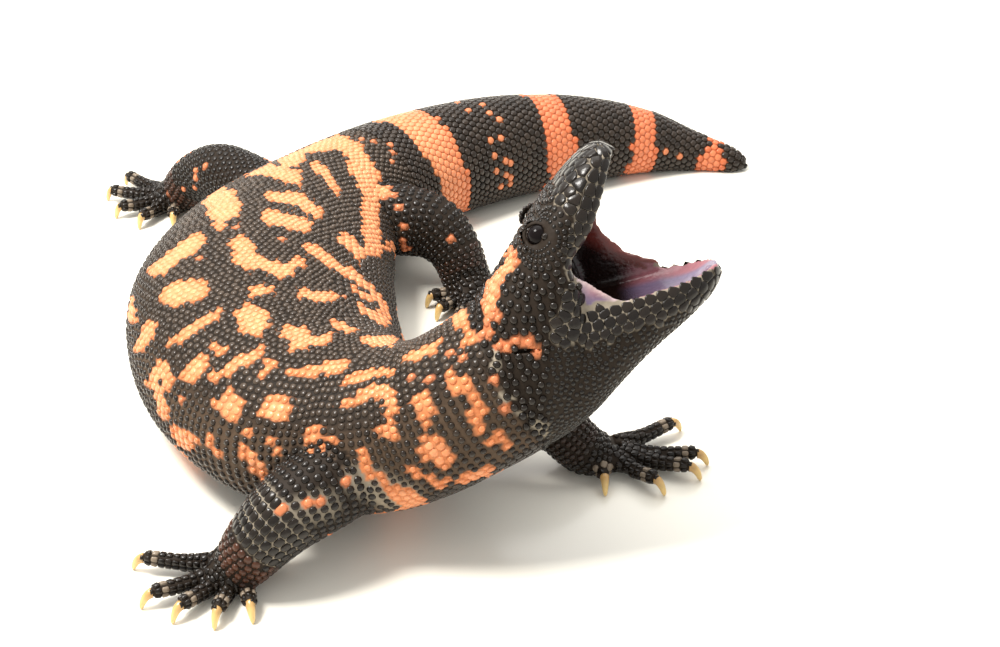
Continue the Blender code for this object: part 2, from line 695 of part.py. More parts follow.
def stand_on_origin(parts):
    """Moves every object so that the middle of the whole box stands on the origin. Returns the move."""
    corners = np.array([tuple(v.co) for o in parts.objects for v in o.data.vertices])
    low, high = corners.min(axis=0), corners.max(axis=0)
    move = Vector((-(low[0] + high[0]) / 2, -(low[1] + high[1]) / 2, -low[2]))
    for thing in parts.objects:
        thing.location = move
    bpy.context.view_layer.update()
    return move


def main():
    for thing in list(bpy.data.objects):
        bpy.data.objects.remove(thing)
    parts = bpy.data.collections.new("gila_monster")
    scratch = bpy.data.collections.new("cutters")
    bpy.context.scene.collection.children.link(parts)
    bpy.context.scene.collection.children.link(scratch)
    trunk_and_tail(parts)
    legs(parts, scratch)
    head(parts, scratch)
    return stand_on_origin(parts)


MOVE = main()
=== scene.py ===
"""The looks of a life-size gila monster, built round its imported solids.

One skin replaces the nodes of flesh: the same lofts as the solids have, a little slimmer, melted into one
surface. Thousands of raised scales stand on it as joined meshes. Lengths are in millimetres up to the
meshes. The photo frame is the solids' own drawing frame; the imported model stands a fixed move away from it.
"""

import math
from functools import partial

import bpy
import numpy as np
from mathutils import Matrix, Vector
from mathutils.bvhtree import BVHTree
from mathutils.geometry import barycentric_transform
from mathutils.kdtree import KDTree


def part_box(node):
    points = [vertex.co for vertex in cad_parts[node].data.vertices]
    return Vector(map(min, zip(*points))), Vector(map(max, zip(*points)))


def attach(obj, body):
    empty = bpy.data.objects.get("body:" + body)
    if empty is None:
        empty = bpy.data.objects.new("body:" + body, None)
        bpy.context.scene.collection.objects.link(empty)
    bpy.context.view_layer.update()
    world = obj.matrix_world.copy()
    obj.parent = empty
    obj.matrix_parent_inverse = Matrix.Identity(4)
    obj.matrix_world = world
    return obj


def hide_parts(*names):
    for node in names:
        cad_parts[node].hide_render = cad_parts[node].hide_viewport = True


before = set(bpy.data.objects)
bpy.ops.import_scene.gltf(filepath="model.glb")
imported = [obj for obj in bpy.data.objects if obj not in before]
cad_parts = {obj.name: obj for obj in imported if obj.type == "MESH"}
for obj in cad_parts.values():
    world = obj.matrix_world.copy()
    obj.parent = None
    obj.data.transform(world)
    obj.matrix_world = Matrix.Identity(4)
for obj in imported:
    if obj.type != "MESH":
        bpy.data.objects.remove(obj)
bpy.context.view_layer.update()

MM = 0.001
RANDOM = np.random.default_rng(7)

# The camera, in the photo frame
CAMERA_DISTANCE = 650.0
CAMERA_PITCH = math.radians(33.0)
FOCAL_PIXELS = 1950.0
IMAGE_WIDTH, IMAGE_HEIGHT = 1000, 647
SENSOR = 36.0
CAMERA_AHEAD = np.array((0.0, math.cos(CAMERA_PITCH), -math.sin(CAMERA_PITCH)))
CAMERA_UP = np.array((0.0, math.sin(CAMERA_PITCH), math.cos(CAMERA_PITCH)))
CAMERA_EYE = -CAMERA_DISTANCE * CAMERA_AHEAD

# The spine from the tip of the tail to the neck:
# name, x, y, half width, height above and below the line, rise of the belly, roll
SINK = 0.9
BELLY_SQUARE = 0.72
FLOOR = 0.0
SPINE = (
    ("tip", 93.0, 107.5, 1.8, 1.8, 1.8, 0.6, 0.0),
    ("tail_end", 87.5, 108.5, 4.8, 4.8, 4.2, 0.0, 0.0),
    ("tail_4", 71.0, 111.5, 8.2, 8.2, 6.8, 0.0, 0.0),
    ("tail_3", 51.0, 110.5, 13.0, 13.0, 11.2, 0.0, 0.0),
    ("tail_2", 24.0, 103.5, 17.0, 17.2, 15.0, 0.0, 0.0),
    ("tail_1", -3.0, 92.5, 19.6, 19.6, 17.0, 0.0, 0.0),
    ("tail_root", -28.0, 77.5, 21.5, 21.0, 17.6, 0.0, 0.0),
    ("vent", -45.0, 62.5, 24.0, 21.0, 18.4, 0.0, 0.0),
    ("hips", -59.0, 43.0, 28.5, 21.5, 19.5, 0.0, 0.0),
    ("loin", -70.5, 15.0, 37.0, 23.5, 21.0, 0.0, 0.0),
    ("belly", -75.5, -18.5, 42.0, 25.5, 22.0, 0.0, 0.0),
    ("ribs", -69.5, -52.5, 41.0, 25.5, 22.5, 0.0, 0.0),
    ("chest", -54.5, -80.5, 36.0, 24.5, 22.5, 1.9, 0.0),
    ("shoulders", -35.0, -96.0, 29.5, 23.0, 22.0, 6.9, 2.0),
    ("neck_base", -20.5, -101.5, 25.5, 21.8, 21.5, 13.9, 6.0),
    ("neck_middle", -7.4, -103.3, 22.8, 21.5, 21.5, 22.7, 13.0),
    ("neck_top", 6.0, -100.7, 21.5, 22.5, 22.5, 29.9, 20.0),
)
SPINE_NAMES = [row[0] for row in SPINE]

# The head's own side view, as in the solids
HEAD_ORIGIN = (20.5, -92.0, 75.5)
LEAN = math.radians(20.0)
SKULL = (
    ((-26.0, -6.0), (-2.4, -44.6), 21.5, 0.50, 0.0, 0.0),
    ((-21.5, 1.0), (4.0, -38.0), 22.5, 0.50, 0.0, 0.0),
    ((-17.0, 8.5), (7.0, -25.0), 23.0, 0.45, 0.0, 0.0),
    ((-13.4, 14.8), (3.0, -6.0), 22.5, 0.38, 0.3, 0.10),
    ((-9.8, 20.6), (-1.4, 5.6), 20.5, 0.32, 1.0, 0.26),
    ((-6.2, 25.8), (2.6, 12.0), 18.4, 0.30, 1.0, 0.26),
    ((-2.8, 30.2), (5.7, 18.8), 16.0, 0.30, 1.0, 0.26),
    ((0.6, 33.6), (7.3, 24.8), 13.6, 0.32, 1.0, 0.24),
    ((3.6, 35.7), (8.5, 29.4), 10.6, 0.35, 1.0, 0.18),
    ((6.6, 36.3), (9.4, 32.2), 7.4, 0.40, 0.8, 0.10),
    ((8.7, 35.3), (10.0, 33.6), 3.6, 0.50, 0.5, 0.05),
)
JAW = (
    ((-4.5, -5.5), (0.6, -41.6), 20.5, 0.40, 0.6, 0.08),
    ((2.5, -4.9), (6.0, -36.5), 21.3, 0.34, 1.0, 0.14),
    ((10.0, -3.3), (11.5, -30.0), 20.2, 0.32, 1.0, 0.17),
    ((17.2, -1.5), (17.2, -23.6), 18.2, 0.32, 1.0, 0.20),
    ((24.0, 0.2), (23.3, -17.6), 15.6, 0.34, 1.0, 0.24),
    ((29.8, 1.7), (29.0, -12.6), 12.8, 0.38, 1.0, 0.26),
    ((34.2, 3.4), (34.0, -8.0), 9.6, 0.42, 1.0, 0.24),
    ((37.2, 4.6), (37.4, -4.0), 6.4, 0.46, 0.7, 0.15),
    ((38.9, 4.4), (39.2, -0.6), 3.2, 0.50, 0.4, 0.05),
)
# The skin stretched across each corner of the mouth: points (x, z, distance from the midline)
WEBS = {
    1: (
        (-8.0, 6.0, 17.8), (-2.1, 4.4, 17.8), (-1.3, 3.4, 17.8), (1.9, 2.1, 17.8), (5.4, 0.0, 17.6),
        (9.9, -2.9, 17.2), (13.5, -3.6, 16.6), (13.5, -6.0, 16.6), (2.5, -8.5, 17.6), (-8.0, -9.0, 17.8),
    ),
    -1: (
        (-8.0, 14.0, 16.4), (6.2, 14.0, 15.4), (7.0, 9.1, 16.6), (9.5, 7.8, 17.2), (11.8, 6.1, 17.2),
        (14.6, 3.7, 16.8), (19.4, 1.6, 15.4), (24.0, 1.4, 14.0), (24.0, -3.0, 14.0), (-8.0, -8.0, 17.8),
    ),
}
WEB_THICKNESS = 1.2
LIP_TURN = 0.34       # the share of a section's lower quarter turn that is lip
LIP_SHARE = 0.87
LIP_ROUND = 0.85      # powers that square the sections of the head
CROWN_ROUND = 0.75
CROWN_RISE = 0.8
EYE = (-10.4, 13.6)
EYE_OUT = 14.6
EYE_RADIUS = 3.0
LID_RADIUS = 3.5
LID_THICKNESS = 0.85
LID_OUT = 1.3
LID_TILT = 0.6
LID_CROWN = (-0.6, 0.8)
LID_LONG = 1.08
NOSTRIL = (5.4, 34.2)
EAR = ((-19.2, -16.8), (-9.6, -15.6))
EAR_OUT = 22.0
GULLET = (-3.0, 1.0)
GULLET_SIZE = (12.0, 9.0, 15.0)

# Legs: x, y, z, radius across and up
LEGS = {
    "fore_right": (
        (-36.0, -105.0, 25.0, 13.0, 13.0),
        (-46.5, -118.5, 25.0, 12.4, 12.4),
        (-57.0, -127.0, 22.0, 11.4, 11.4),
        (-65.0, -130.8, 15.2, 10.0, 9.6),
        (-71.5, -130.5, 6.7, 9.4, 7.9),
        (-77.0, -129.8, 4.0, 8.6, 5.2),
    ),
    "fore_left": (
        (-26.0, -82.0, 26.0, 11.5, 11.5),
        (-11.0, -71.0, 26.0, 10.6, 11.0),
        (5.0, -71.5, 22.5, 9.4, 9.6),
        (15.5, -76.5, 15.5, 8.4, 8.4),
        (25.0, -78.5, 6.7, 8.2, 7.6),
        (32.5, -77.8, 3.9, 8.2, 5.1),
    ),
    "hind_right": (
        (-68.0, 38.0, 20.0, 13.0, 13.0),
        (-86.0, 55.0, 20.0, 11.6, 12.0),
        (-99.0, 67.0, 19.5, 10.6, 11.4),
        (-109.5, 75.0, 14.5, 8.8, 9.0),
        (-117.0, 78.5, 6.4, 8.2, 7.4),
        (-123.0, 79.5, 3.9, 8.0, 5.0),
    ),
    "hind_left": (
        (-50.0, 36.0, 19.0, 13.0, 13.0),
        (-36.0, 32.0, 21.5, 11.6, 12.4),
        (-23.5, 29.0, 20.5, 10.8, 11.4),
        (-15.5, 24.0, 14.5, 9.0, 9.4),
        (-11.5, 18.5, 6.5, 8.4, 7.5),
        (-9.0, 12.5, 3.9, 8.0, 5.0),
    ),
}
ANKLE = 3.2           # the row number where a leg's scales give way to the foot's
WRIST = 3.85          # the row number where the folds of the wrist end
FEET = {
    "fore_right": ((-71.5, -128.8), ((175, 28.4), (208, 27.0), (230, 23.4), (257, 20.4), (284, 17.9))),
    "fore_left": ((30.0, -76.5), ((32, 27.4), (-3, 29.7), (-17, 28.2), (-42, 22.0), (-87, 14.0))),
    "hind_right": ((-119.0, 79.5), ((143, 25.1), (172, 24.8), (205, 21.4), (238, 19.3), (275, 15.5))),
    "hind_left": ((-10.5, 16.0), ((204, 14.5), (234, 17.0), (262, 20.5), (288, 21.5), (316, 19.5))),
}
TOE_RADIUS = 2.25
# Along a toe: share of its reach, height, and what the radius gains across and up
TOE_SHAPE = (
    (0.22, 4.0, 0.9, 1.6),
    (0.50, 3.6, 0.1, 0.7),
    (0.72, 4.0, 0.0, 0.2),
    (0.90, 4.6, 0.0, 0.1),
    (0.97, 4.6, -0.5, -0.4),
    (1.00, 4.5, -1.3, -1.2),
)
CLAW_FORWARD = 2.5
HIND_CLAW = 0.45      # how far a hind claw reaches forward, against a fore claw
CLAW_TURN = 1.35
CLAW_RADIUS = 1.2
CLAW_TIP_RADIUS = 0.38
CLAW_TAPER = 0.55
CLAW_SLIM = 0.9
CLAW_HEIGHT = 4.4
CLAW_TIP_HEIGHT = 0.25

# The lofts that the skin is melted from
SKIN_INSET = 0.4      # how far the skin lies inside the solids' own loft
HEAD_INSET = 0.3
TRUNK_SIDES, TRUNK_STEP = 72, 2.0
LEG_SIDES, LEG_STEP = 36, 1.6
TOE_SIDES, TOE_RINGS = 16, 24
HEAD_SIDES, HEAD_STEP = 96, 1.2
BALL_SIDES = 32
LID_SIDES, LID_RINGS = 12, 40
WEB_MARKS = np.linspace(0.1, 0.9, 9)   # from a web's middle to its edge
ANKLE_SHARE, ANKLE_STEP = 0.5, 1.2   # a leg's last ring: its size and step, against the ring before
HOLLOW_FROM, INNER_TURN = 0.45, 1.15   # where a hollow section's lower side counts as inside the mouth
# Steps that curves are measured in
CURVE_STEPS = 400
AROUND_STEPS = 96
RUN_STEPS = 800
TANGENT_STEP = 0.02
SOFTNESS = 0.5
SEAM_ROUNDS, SKIN_ROUNDS = 40, 5   # rounds of smoothing at the neck's end and all over
SOCKET_GAP = 0.15
VOXEL = 0.8
SKIN_FACES = 185000
NAPE = (-14.2, -25.3, 0.0)
NAPE_SIZE = (9.0, 21.6, 20.4)
NAPE_TURN = math.radians(31.4)
SEAM_REACH = 6.0      # how far from the cut at the neck's end the skin is smoothed more
NAPE_REACH = 16.0     # how far behind the head's cut its way of scattering scales fills gaps
NOSTRIL_OUT = 8.7
NOSTRIL_SIZE = (1.2, 0.9, 1.7)
EAR_SIZE = (4.8, 0.7, 2.2)
MOUTH_MARGIN = 2.5    # how far the mouth's lining reaches behind the lips' edges, by the sides
CORE_MARGIN = 5.5     # and in the middle
MOUTH_CORE = 0.6      # the middle's share of the mouth's width
MOUTH_TOP = 31.0
MOUTH_WIDTH = 0.84
UNWRAP_RATIO = 0.06
UNWRAP_ANGLE = math.radians(66)
PATCH = 0.003         # the side of each scale's own place on the unwrap

# The parts that scales and places of the skin belong to
TRUNK, TAIL, LEG, FOOT, HEAD, LINING, MEMBRANE, PIT = range(8)
ANY = None
BOUND = 8             # a place that holds scales back and has none itself

# Rows of scales round a tube: distance between rows, spacing in a row, jitter,
# farthest from the skin, size, height, and how much of its cell a scale fills
STYLES = {
    "trunk": (1.95, 2.45, 0.10, 2.2, 2.45, 0.68, 0.72),
    "tail": (2.25, 2.8, 0.02, 1.6, 2.6, 0.65, 0.93),
    "leg": (2.3, 2.6, 0.08, 1.3, 2.6, 0.6, 0.84),
    "wrist": (1.9, 2.6, 0.03, 1.6, 2.6, 0.6, 0.9),
    "foot": (1.8, 2.3, 0.08, 1.6, 2.3, 0.65, 0.92),
    "toe": (2.1, 2.4, 0.0, 0.9, 2.4, 0.5, 0.97),
}
STAGGERED, ALIGNED, BESIDE = (0.0, 0.5), (0.0, 0.0), (0.5, 0.5)   # shifts of even and odd rows
CROWDED = 1.45        # where rows come closer than this, every second one is dropped
BELLY_LEVEL = -0.6
BELLY_TALL, BELLY_FILL = 0.4, 0.93
BACK_TALL, BACK_FILL = -0.1, 0.16    # what the beads of the back gain in height and fill
TAIL_START = 0.35
TOE_END = 1.15        # how many rows before a toe's end its scales stop
PALE_ROW = 2          # how many rows before a toe's last its pale ring is
FOREARM_TALL, FOREARM_FILL = -0.15, 0.1
FOREARM = (2.05, 3.1)   # between these rows the near fore leg's scales are plates
LABIAL_PITCH = 3.3
LIP_STARTS = {"skull": 3.6, "jaw": 0.7}
LIP_END = 1.3
LIP_REACH = 2.0       # farthest of a lip's plate from the skin
LIP_ROWS = ((2.3, 0.28), (4.9, 0.4), (7.9, 0.4))   # distance of each row from the lip's edge, and its height
LIP_BOUND = 0.1       # where a lip's first row ends: 1 at the edge, less below it
LOWEST_SCALE = 0.7
LEAST_IN_ROW = 5
WRIST_GAP = 0.1       # from the folds of the wrist to the scales of the foot, in rows
ROW_SHIFT = 0.25      # how far every second row of a lip is shifted
SNOUTWARD = (0.3, 1.0)   # the way to the snout in the side view
TIE_BREAK = 0.01
# Sine of the angle round the trunk where its beads grow flatter and fuller
BACK_RAMP = (0.25, 0.75)
# Rings of granules round an eye: radius, spacing, height
EYE_RINGS = ((3.7, 0.85, 0.25), (4.9, 1.15, 0.35), (6.2, 1.5, 0.45), (7.8, 1.9, 0.6))
EYE_FILL = 0.88
# Where the head has plates in its side view: x from and to, z from and to, and their spacing
HEAD_ZONES = (
    (-6.0, 20.0, 17.0, 50.0, 3.3),
    (-4.0, 42.0, -14.0, 0.0, 3.1),
    (-8.0, 6.0, -19.0, -8.0, 3.1),
)
CHEEK_SPACE = 2.5
THROAT_DEPTH = 9.5    # below the lower lip, where the fine granules of the throat begin
THROAT_START = -8.0
THROAT_SPACE = 1.4
SCATTER_TRIES = 40000
SCATTER_SHARE = 0.43  # least distance of two scattered scales, against the sum of their spacings
THIN_SHARE = 0.26     # and of any two
SETTLE_STEPS = 3
# Heights and fills of the head's scattered granules, plates and knobs
GRANULE_BELOW = 2.0
HEAD_TALL = (0.3, 0.4, 0.85)
HEAD_FILL = (0.86, 1.0, 0.84)
FINE = 1.45           # scales spaced closer than this are the throat's and the lids'
NEAR = 9
BEAD_SIDES = 8
PLATE_SIDES = 12
BEAD_PROFILE = ((1.0, -0.35), (0.9, 0.45), (0.56, 0.88))
PLATE_PROFILE = ((1.0, -0.5), (0.96, 0.5), (0.8, 0.92))
BEAD_ROUND, PLATE_ROUND = 0.45, 0.06
FARTHEST = 9.0        # the reach of a scale with no neighbour on that side
BEAD_LIMIT = 0.62     # the reach of a bead at most, against its spacing
SIDEWAYS = 0.2        # neighbours farther round than this don't hold a side back
PIECE_TRIANGLES = 190000
PIECES = (
    (TRUNK, "trunk", "body_scales"),
    (TAIL, "tail", "tail_scales"),
    (LEG, "leg", "body_scales"),
    (FOOT, "foot", "foot_scales"),
    (HEAD, "head", "head_scales"),
)

# Colours, linear
ORANGE_MIDDLE = np.array((0.75, 0.30, 0.135))
ORANGE_EDGE = np.array((0.64, 0.22, 0.085))
ORANGE_TAIL = np.array((0.54, 0.13, 0.048))
ORANGE_TAIL_MIDDLE = np.array((0.62, 0.185, 0.08))
ORANGE_DEEP = np.array((0.58, 0.19, 0.08))
BLACK = np.array((0.024, 0.0165, 0.0115))
# Painted sheen: the lighter brown that black beads turn towards the top of the trunk, standing in for the
# soft reflection of the light above
BACK_SHEEN = np.array((0.050, 0.035, 0.024))
LIMB_BLACK = np.array((0.0115, 0.008, 0.0055))
# How rusty the wrist or ankle of each leg is
RUST = {"fore_right": 1.0, "fore_left": 0.2, "hind_right": 0.7, "hind_left": 0.3}
WRIST_RUST = np.array((0.075, 0.026, 0.012))
PALE_RING = np.array((0.21, 0.165, 0.12))
SKIN_DARK = np.array((0.013, 0.009, 0.006))
SKIN_BROWN = np.array((0.080, 0.052, 0.033))
SKIN_PALE = np.array((0.34, 0.29, 0.22))
SEAM_SHARE = 0.75
SEAM_NEAR, SEAM_FAR = 1.8, 2.6
SHADE = 0.85          # skin between orange scales, against the scales: painted shade in the crevices between them
PIT_DRY = 0.8
EDGE_SHARE = 0.7      # how pale the web's edge is
# Painted shade: near black for the depth of the mouth and the back of its floor and far web
MOUTH_DEPTH_SHADE = np.array((0.010, 0.004, 0.003))
MOUTH_LILAC = np.array((0.17, 0.125, 0.21))
MOUTH_PINK = np.array((0.30, 0.11, 0.13))
MOUTH_PALE = np.array((0.42, 0.34, 0.42))
MOUTH_EDGE = np.array((0.55, 0.42, 0.40))
MOUTH_RED = np.array((0.16, 0.028, 0.020))
CLAW_ROOT_COLOUR = np.array((0.50, 0.29, 0.10))
CLAW_TIP_COLOUR = np.array((0.78, 0.54, 0.20))
EYE_COLOUR = (0.006, 0.004, 0.004)
COAT_ROUGHNESS = 0.15
GRAIN_DETAIL = 4.0
GRAIN_SHARE = 0.25     # how far fine grain lightens and darkens a hide
BUMP_DEPTH = 0.0002
WET = (("Roughness", 0.16, 0.6), ("Specular IOR Level", 0.5, 0.12))   # in the mouth and outside it
CLAW_SIDES = 12
CLAW_RINGS = 14
CLAW_ROOT = 0.8       # how far a claw's root reaches back into its toe

# How colours and finishes change: pairs are the values where a change starts and ends
INNER_NEIGHBOURS = 6
MIDDLE_RAMP = (0.45, 0.95)      # share of orange neighbours, from a blotch's edge to its middle
TAIL_RAMP = (150.0, 110.0)      # along the tail, where orange grows redder
BACK_SHEEN_RAMP = (0.35, 0.85)       # sine of the angle round the trunk, where black grows into the painted sheen of the back
BARE_RAMP = (0.9, 0.7)          # how full the scales' cells are, where skin grows browner
LEAST_BARE = 0.1
PALE_RAMP = (0.0, 0.6)
DARK_RANGE, WARM_RANGE, RUST_RANGE = (0.7, 1.4), (0.9, 1.08), (0.2, 1.0)
FINE_SHADE = 0.6
ORANGE_FROM, ORANGE_TALL, ORANGE_FILL = 0.2, 0.7, 0.95   # inside a blotch scales are flatter and fuller
MOUTH_FLOOR = (-2.5, 4.0)       # least depth and least x of the floor of the mouth
# along the floor of the mouth, where its painted shade gives way to lilac
MOUTH_RAMP = (12.0, 20.0)
GUM_WIDTH = ((0.0, 24.0, 38.0), (18.0, 13.5, 4.0))
GUM_RAMP = (0.55, 0.85)
WEB_EDGE_RAMP = (2.2, 0.6)
WEB_ACROSS_RAMP = (-1.0, 6.0)
WEB_LOW_RAMP = (0.0, -4.0)
# On the far web: where its painted shade gives way to red, towards its top and front
WEB_FAR_SLOPE = 0.55
WEB_FAR_RAMP = (6.0, 11.0)
CLAW_RAMP = (0.1, 0.75)
# Roughness, grain, relief, shine and coat of each hide
HIDES = {
    "scales": (0.22, 1400.0, 0.25, 0.3, 0.0),
    "skin": (0.6, 900.0, 0.5, 0.5, 0.0),
    "claw": (0.3, 500.0, 0.15, 0.5, 0.3),
}
EYE_ROUGHNESS, EYE_SHINE = 0.08, 0.1

# The set
FLOOR_HALF = 3.0
FLOOR_COLOUR = (0.97, 0.94, 0.84)
FLOOR_ROUGHNESS = 0.22
LIGHT_TARGET = (0.0, 0.0, 0.02)
SKY_COLOUR = (1.0, 0.995, 0.985, 1.0)
SKY_STRENGTH = 0.88
LIGHTS = (
    ("key", (-0.2, 0.45, 1.1), (1.5, 1.1), 12.0, (1.0, 0.98, 0.95)),
    ("spark", (-0.34, -0.06, 0.75), (0.26, 0.26), 10.0, (1.0, 0.97, 0.93)),
)

# The tail's bands: from and to along the spine at the top, and the same at the bottom
TAIL_BANDS = (
    (126.4, 143.6, 120.2, 135.0),
    (75.0, 87.0, 71.6, 85.0),
    (39.0, 48.5, 36.0, 49.5),
    (11.0, 15.5, 6.3, 19.0),
)
BAND_TOP = math.radians(110.0)
BAND_JITTER = 0.4
BLOTCH_SIZE, BLOTCH_LIMIT, LEG_BLOTCH_LIMIT = 30.0, 1.6, 3.0
BLOTCH_WAVES = 7
FLAKE_SIZE, FLAKE_LIMIT = 5.0, 0.6
SEEN_FROM = 0.05      # scales that face the camera less than this count as unseen
STROKE_REACH = 90
UNSEEN_AWAY = 99.0     # added to a fleck's distance from scales out of sight
STROKE_JITTER = 0.08

# Markings of the side that shows, by part: half width in pixels, then x and y of each pixel that the
# stroke runs through
STROKES = {
    TRUNK: (
        (8, 286, 159, 300, 157), (7, 232, 171, 258, 168, 296, 177), (14, 216, 201, 228, 205),
        (5, 212, 212, 220, 224), (5, 316, 166, 326, 174, 336, 190), (6, 272, 197, 300, 200, 318, 214),
        (7, 268, 217, 304, 226), (7, 156, 270, 176, 256, 198, 240), (12, 243, 246, 247, 260),
        (7, 254, 262, 284, 272), (6, 284, 272, 298, 262), (12, 172, 296, 196, 290),
        (5, 252, 292, 270, 290), (5, 303, 294, 332, 298), (13, 248, 318, 256, 322),
        (4, 172, 342, 200, 326, 216, 312), (9, 290, 332, 306, 338), (5, 296, 345, 330, 338),
        (4, 133, 318, 128, 290), (6, 140, 348, 150, 326), (6, 152, 382, 164, 366),
        (7, 164, 366, 170, 380), (8, 190, 378, 200, 362), (5, 158, 390, 164, 414),
        (5, 216, 346, 222, 350), (5, 214, 378, 240, 362, 264, 350), (4, 260, 378, 272, 362),
        (6, 296, 374, 342, 364), (5, 350, 380, 370, 374, 392, 372), (12, 226, 404, 234, 410),
        (12, 272, 408, 282, 410), (6, 350, 404, 372, 390, 392, 394, 392, 416), (6, 386, 428, 392, 434),
        (8, 424, 400, 424, 418), (9, 450, 380, 464, 388), (7, 464, 388, 474, 404, 478, 410),
        (9, 472, 414, 474, 424), (4, 244, 426, 248, 436), (4, 274, 436, 274, 450),
        (8, 312, 430, 318, 450), (6, 318, 450, 336, 444), (6, 244, 452, 254, 464, 268, 476),
        (7, 176, 432, 192, 444), (4, 208, 436, 216, 452), (11, 426, 449, 444, 456),
        (7, 496, 438, 502, 444), (9, 464, 318, 472, 340), (5, 470, 344, 482, 342),
        (6, 345, 238, 362, 254), (4, 309, 246, 326, 259, 344, 273), (4, 346, 269, 372, 290, 386, 312),
        (3, 350, 286, 369, 298), (5, 360, 308, 386, 321), (4, 334, 322, 350, 331),
        (4, 408, 472, 424, 478, 446, 485), (5, 464, 478, 488, 470),
        (8, 303, 147, 338, 143, 355, 150, 366, 165, 374, 183), (5, 350, 162, 360, 176, 364, 190),
        (5, 364, 341, 392, 342), (5, 408, 358, 424, 352, 436, 346), (6, 492, 300, 488, 330),
    ),
    ANY: (
        (6, 366, 190, 388, 192), (9, 372, 200, 370, 225, 374, 248), (4, 386, 246, 392, 246),
        (4, 402, 243, 406, 248), (5, 358, 450, 384, 484, 424, 512), (10, 398, 496, 420, 506),
    ),
    HEAD: (
        (4, 513, 237), (5, 505, 252, 516, 252), (6, 511, 265, 503, 273, 492, 288, 490, 304, 495, 317),
        (5, 488, 296, 486, 335),
    ),
}

# Single orange scales, in pixels
FLECKS = (
    (457, 105), (467, 111), (482, 106), (490, 116), (501, 119), (491, 137), (500, 140), (495, 158),
    (503, 161), (511, 165), (496, 170), (504, 173), (511, 176), (499, 184), (507, 185), (361, 138),
    (371, 142), (390, 143), (396, 154), (393, 163), (413, 377), (427, 377), (682, 158), (664, 149),
    (501, 283), (505, 342), (514, 343), (528, 342), (507, 350), (536, 348),
    (343, 486), (303, 501), (318, 499), (282, 509), (464, 358), (473, 358), (484, 359),
    (450, 350), (496, 316), (490, 378), (495, 382), (502, 392), (504, 408), (502, 414), (510, 412),
    (183, 402), (197, 168), (206, 168), (196, 178), (185, 189), (194, 187), (171, 195), (172, 206),
    (398, 210), (440, 212), (405, 230), (413, 231), (451, 238), (235, 228), (201, 256), (283, 239),
    (346, 299),
)

# Where the skin between scales is pale, or flaked with it at 1.0: share, and a stroke as above
PALE_STROKES = (
    (0.6, 22, 290, 515, 325, 505),
    (0.7, 24, 360, 480, 405, 500),
    (1.0, 9, 490, 345, 500, 380),
    (1.0, 9, 505, 395, 545, 430),
)


def smooth_rows(rows, places):
    """The rows of numbers read along a smooth curve through them, at fractional row numbers."""
    rows = np.asarray(rows, float)
    places = np.clip(np.asarray(places, float), 0.0, len(rows) - 1.0)
    first = np.minimum(places.astype(int), len(rows) - 2)
    t = (places - first)[:, None]
    padded = np.vstack([2 * rows[0] - rows[1], rows, 2 * rows[-1] - rows[-2]])
    a, b, c, d = (padded[first + k] for k in range(4))
    return 0.5 * (2 * b + (c - a) * t + (2 * a - 5 * b + 4 * c - d) * t**2 + (3 * b - a - 3 * c + d) * t**3)


def spine_rows():
    rows = []
    for _, x, y, width, up, down, rise, roll in SPINE:
        rows.append((x, y, FLOOR + rise + down - SINK, width, up, down, math.radians(roll)))
    return np.array(rows)


def place_of(name):
    return float(SPINE_NAMES.index(name))


def lengths_along(points):
    """The distance run up to each point of a line."""
    return np.concatenate([[0.0], np.cumsum(np.linalg.norm(np.diff(points, axis=0), axis=1))])


def unit(vectors):
    return vectors / np.linalg.norm(vectors, axis=-1)[..., None]


def mixed(first, second, share):
    """The first value, given way to the second by a share."""
    return first * (1 - share) + second * share


def numbers(items, key, kind=float):
    """One property of all items of a mesh, in rows of three."""
    values = np.empty(len(items) * 3, kind)
    items.foreach_get(key, values)
    return values.reshape(-1, 3)


def even_places(rows, start, end, pitch):
    """Row numbers from start to end, one for about every pitch of length."""
    fine = np.linspace(start, end, CURVE_STEPS)
    run = lengths_along(smooth_rows(rows, fine)[:, :3])
    count = max(3, int(round(run[-1] / pitch)) + 1)
    return np.interp(np.linspace(0.0, run[-1], count), run, fine)


def frames(rows, places):
    """The curve's points with the directions left and up of each section."""
    here = smooth_rows(rows, places)
    ahead = smooth_rows(rows, np.asarray(places) + TANGENT_STEP)[:, :3]
    behind = smooth_rows(rows, np.asarray(places) - TANGENT_STEP)[:, :3]
    along = unit(ahead - behind)
    left = unit(np.cross((0.0, 0.0, 1.0), along))
    return here, left, np.cross(along, left)


def body_points(places, angles, grow=0.0):
    """Points of the trunk and tail: one row of angles at each place."""
    here, left, up = frames(spine_rows(), places)
    roll = here[:, 6][:, None]
    side = left * np.cos(roll) - up * np.sin(roll)
    top = up * np.cos(roll) + left * np.sin(roll)
    across, rise = np.cos(angles)[..., None], np.sin(angles)[..., None]
    width = here[:, 3][:, None, None]
    height = np.where(rise > 0, here[:, 4][:, None, None], here[:, 5][:, None, None])
    square = np.where(rise > 0, 1.0, BELLY_SQUARE)
    side, top = side[:, None, :], top[:, None, :]
    flat = side * across * width + top * np.sign(rise) * np.abs(rise) ** square * height
    points = here[:, None, :3] + flat + unit(side * across / width + top * rise / height) * grow
    points[..., 2] = np.maximum(points[..., 2], FLOOR)
    return points


def tube_points(rows, places, angles, grow=0.0):
    """Points of a leg or toe: one row of angles at each place."""
    here, left, up = frames(rows, places)
    across, rise = np.cos(angles)[..., None], np.sin(angles)[..., None]
    wide = here[:, 3][:, None, None] + grow
    tall = here[:, 4][:, None, None] + grow
    points = here[:, None, :3] + left[:, None, :] * across * wide + up[:, None, :] * rise * tall
    points[..., 2] = np.maximum(points[..., 2], FLOOR)
    return points


def ring_angles(count, places):
    return np.tile(np.arange(count) * 2 * math.pi / count, (len(places), 1))


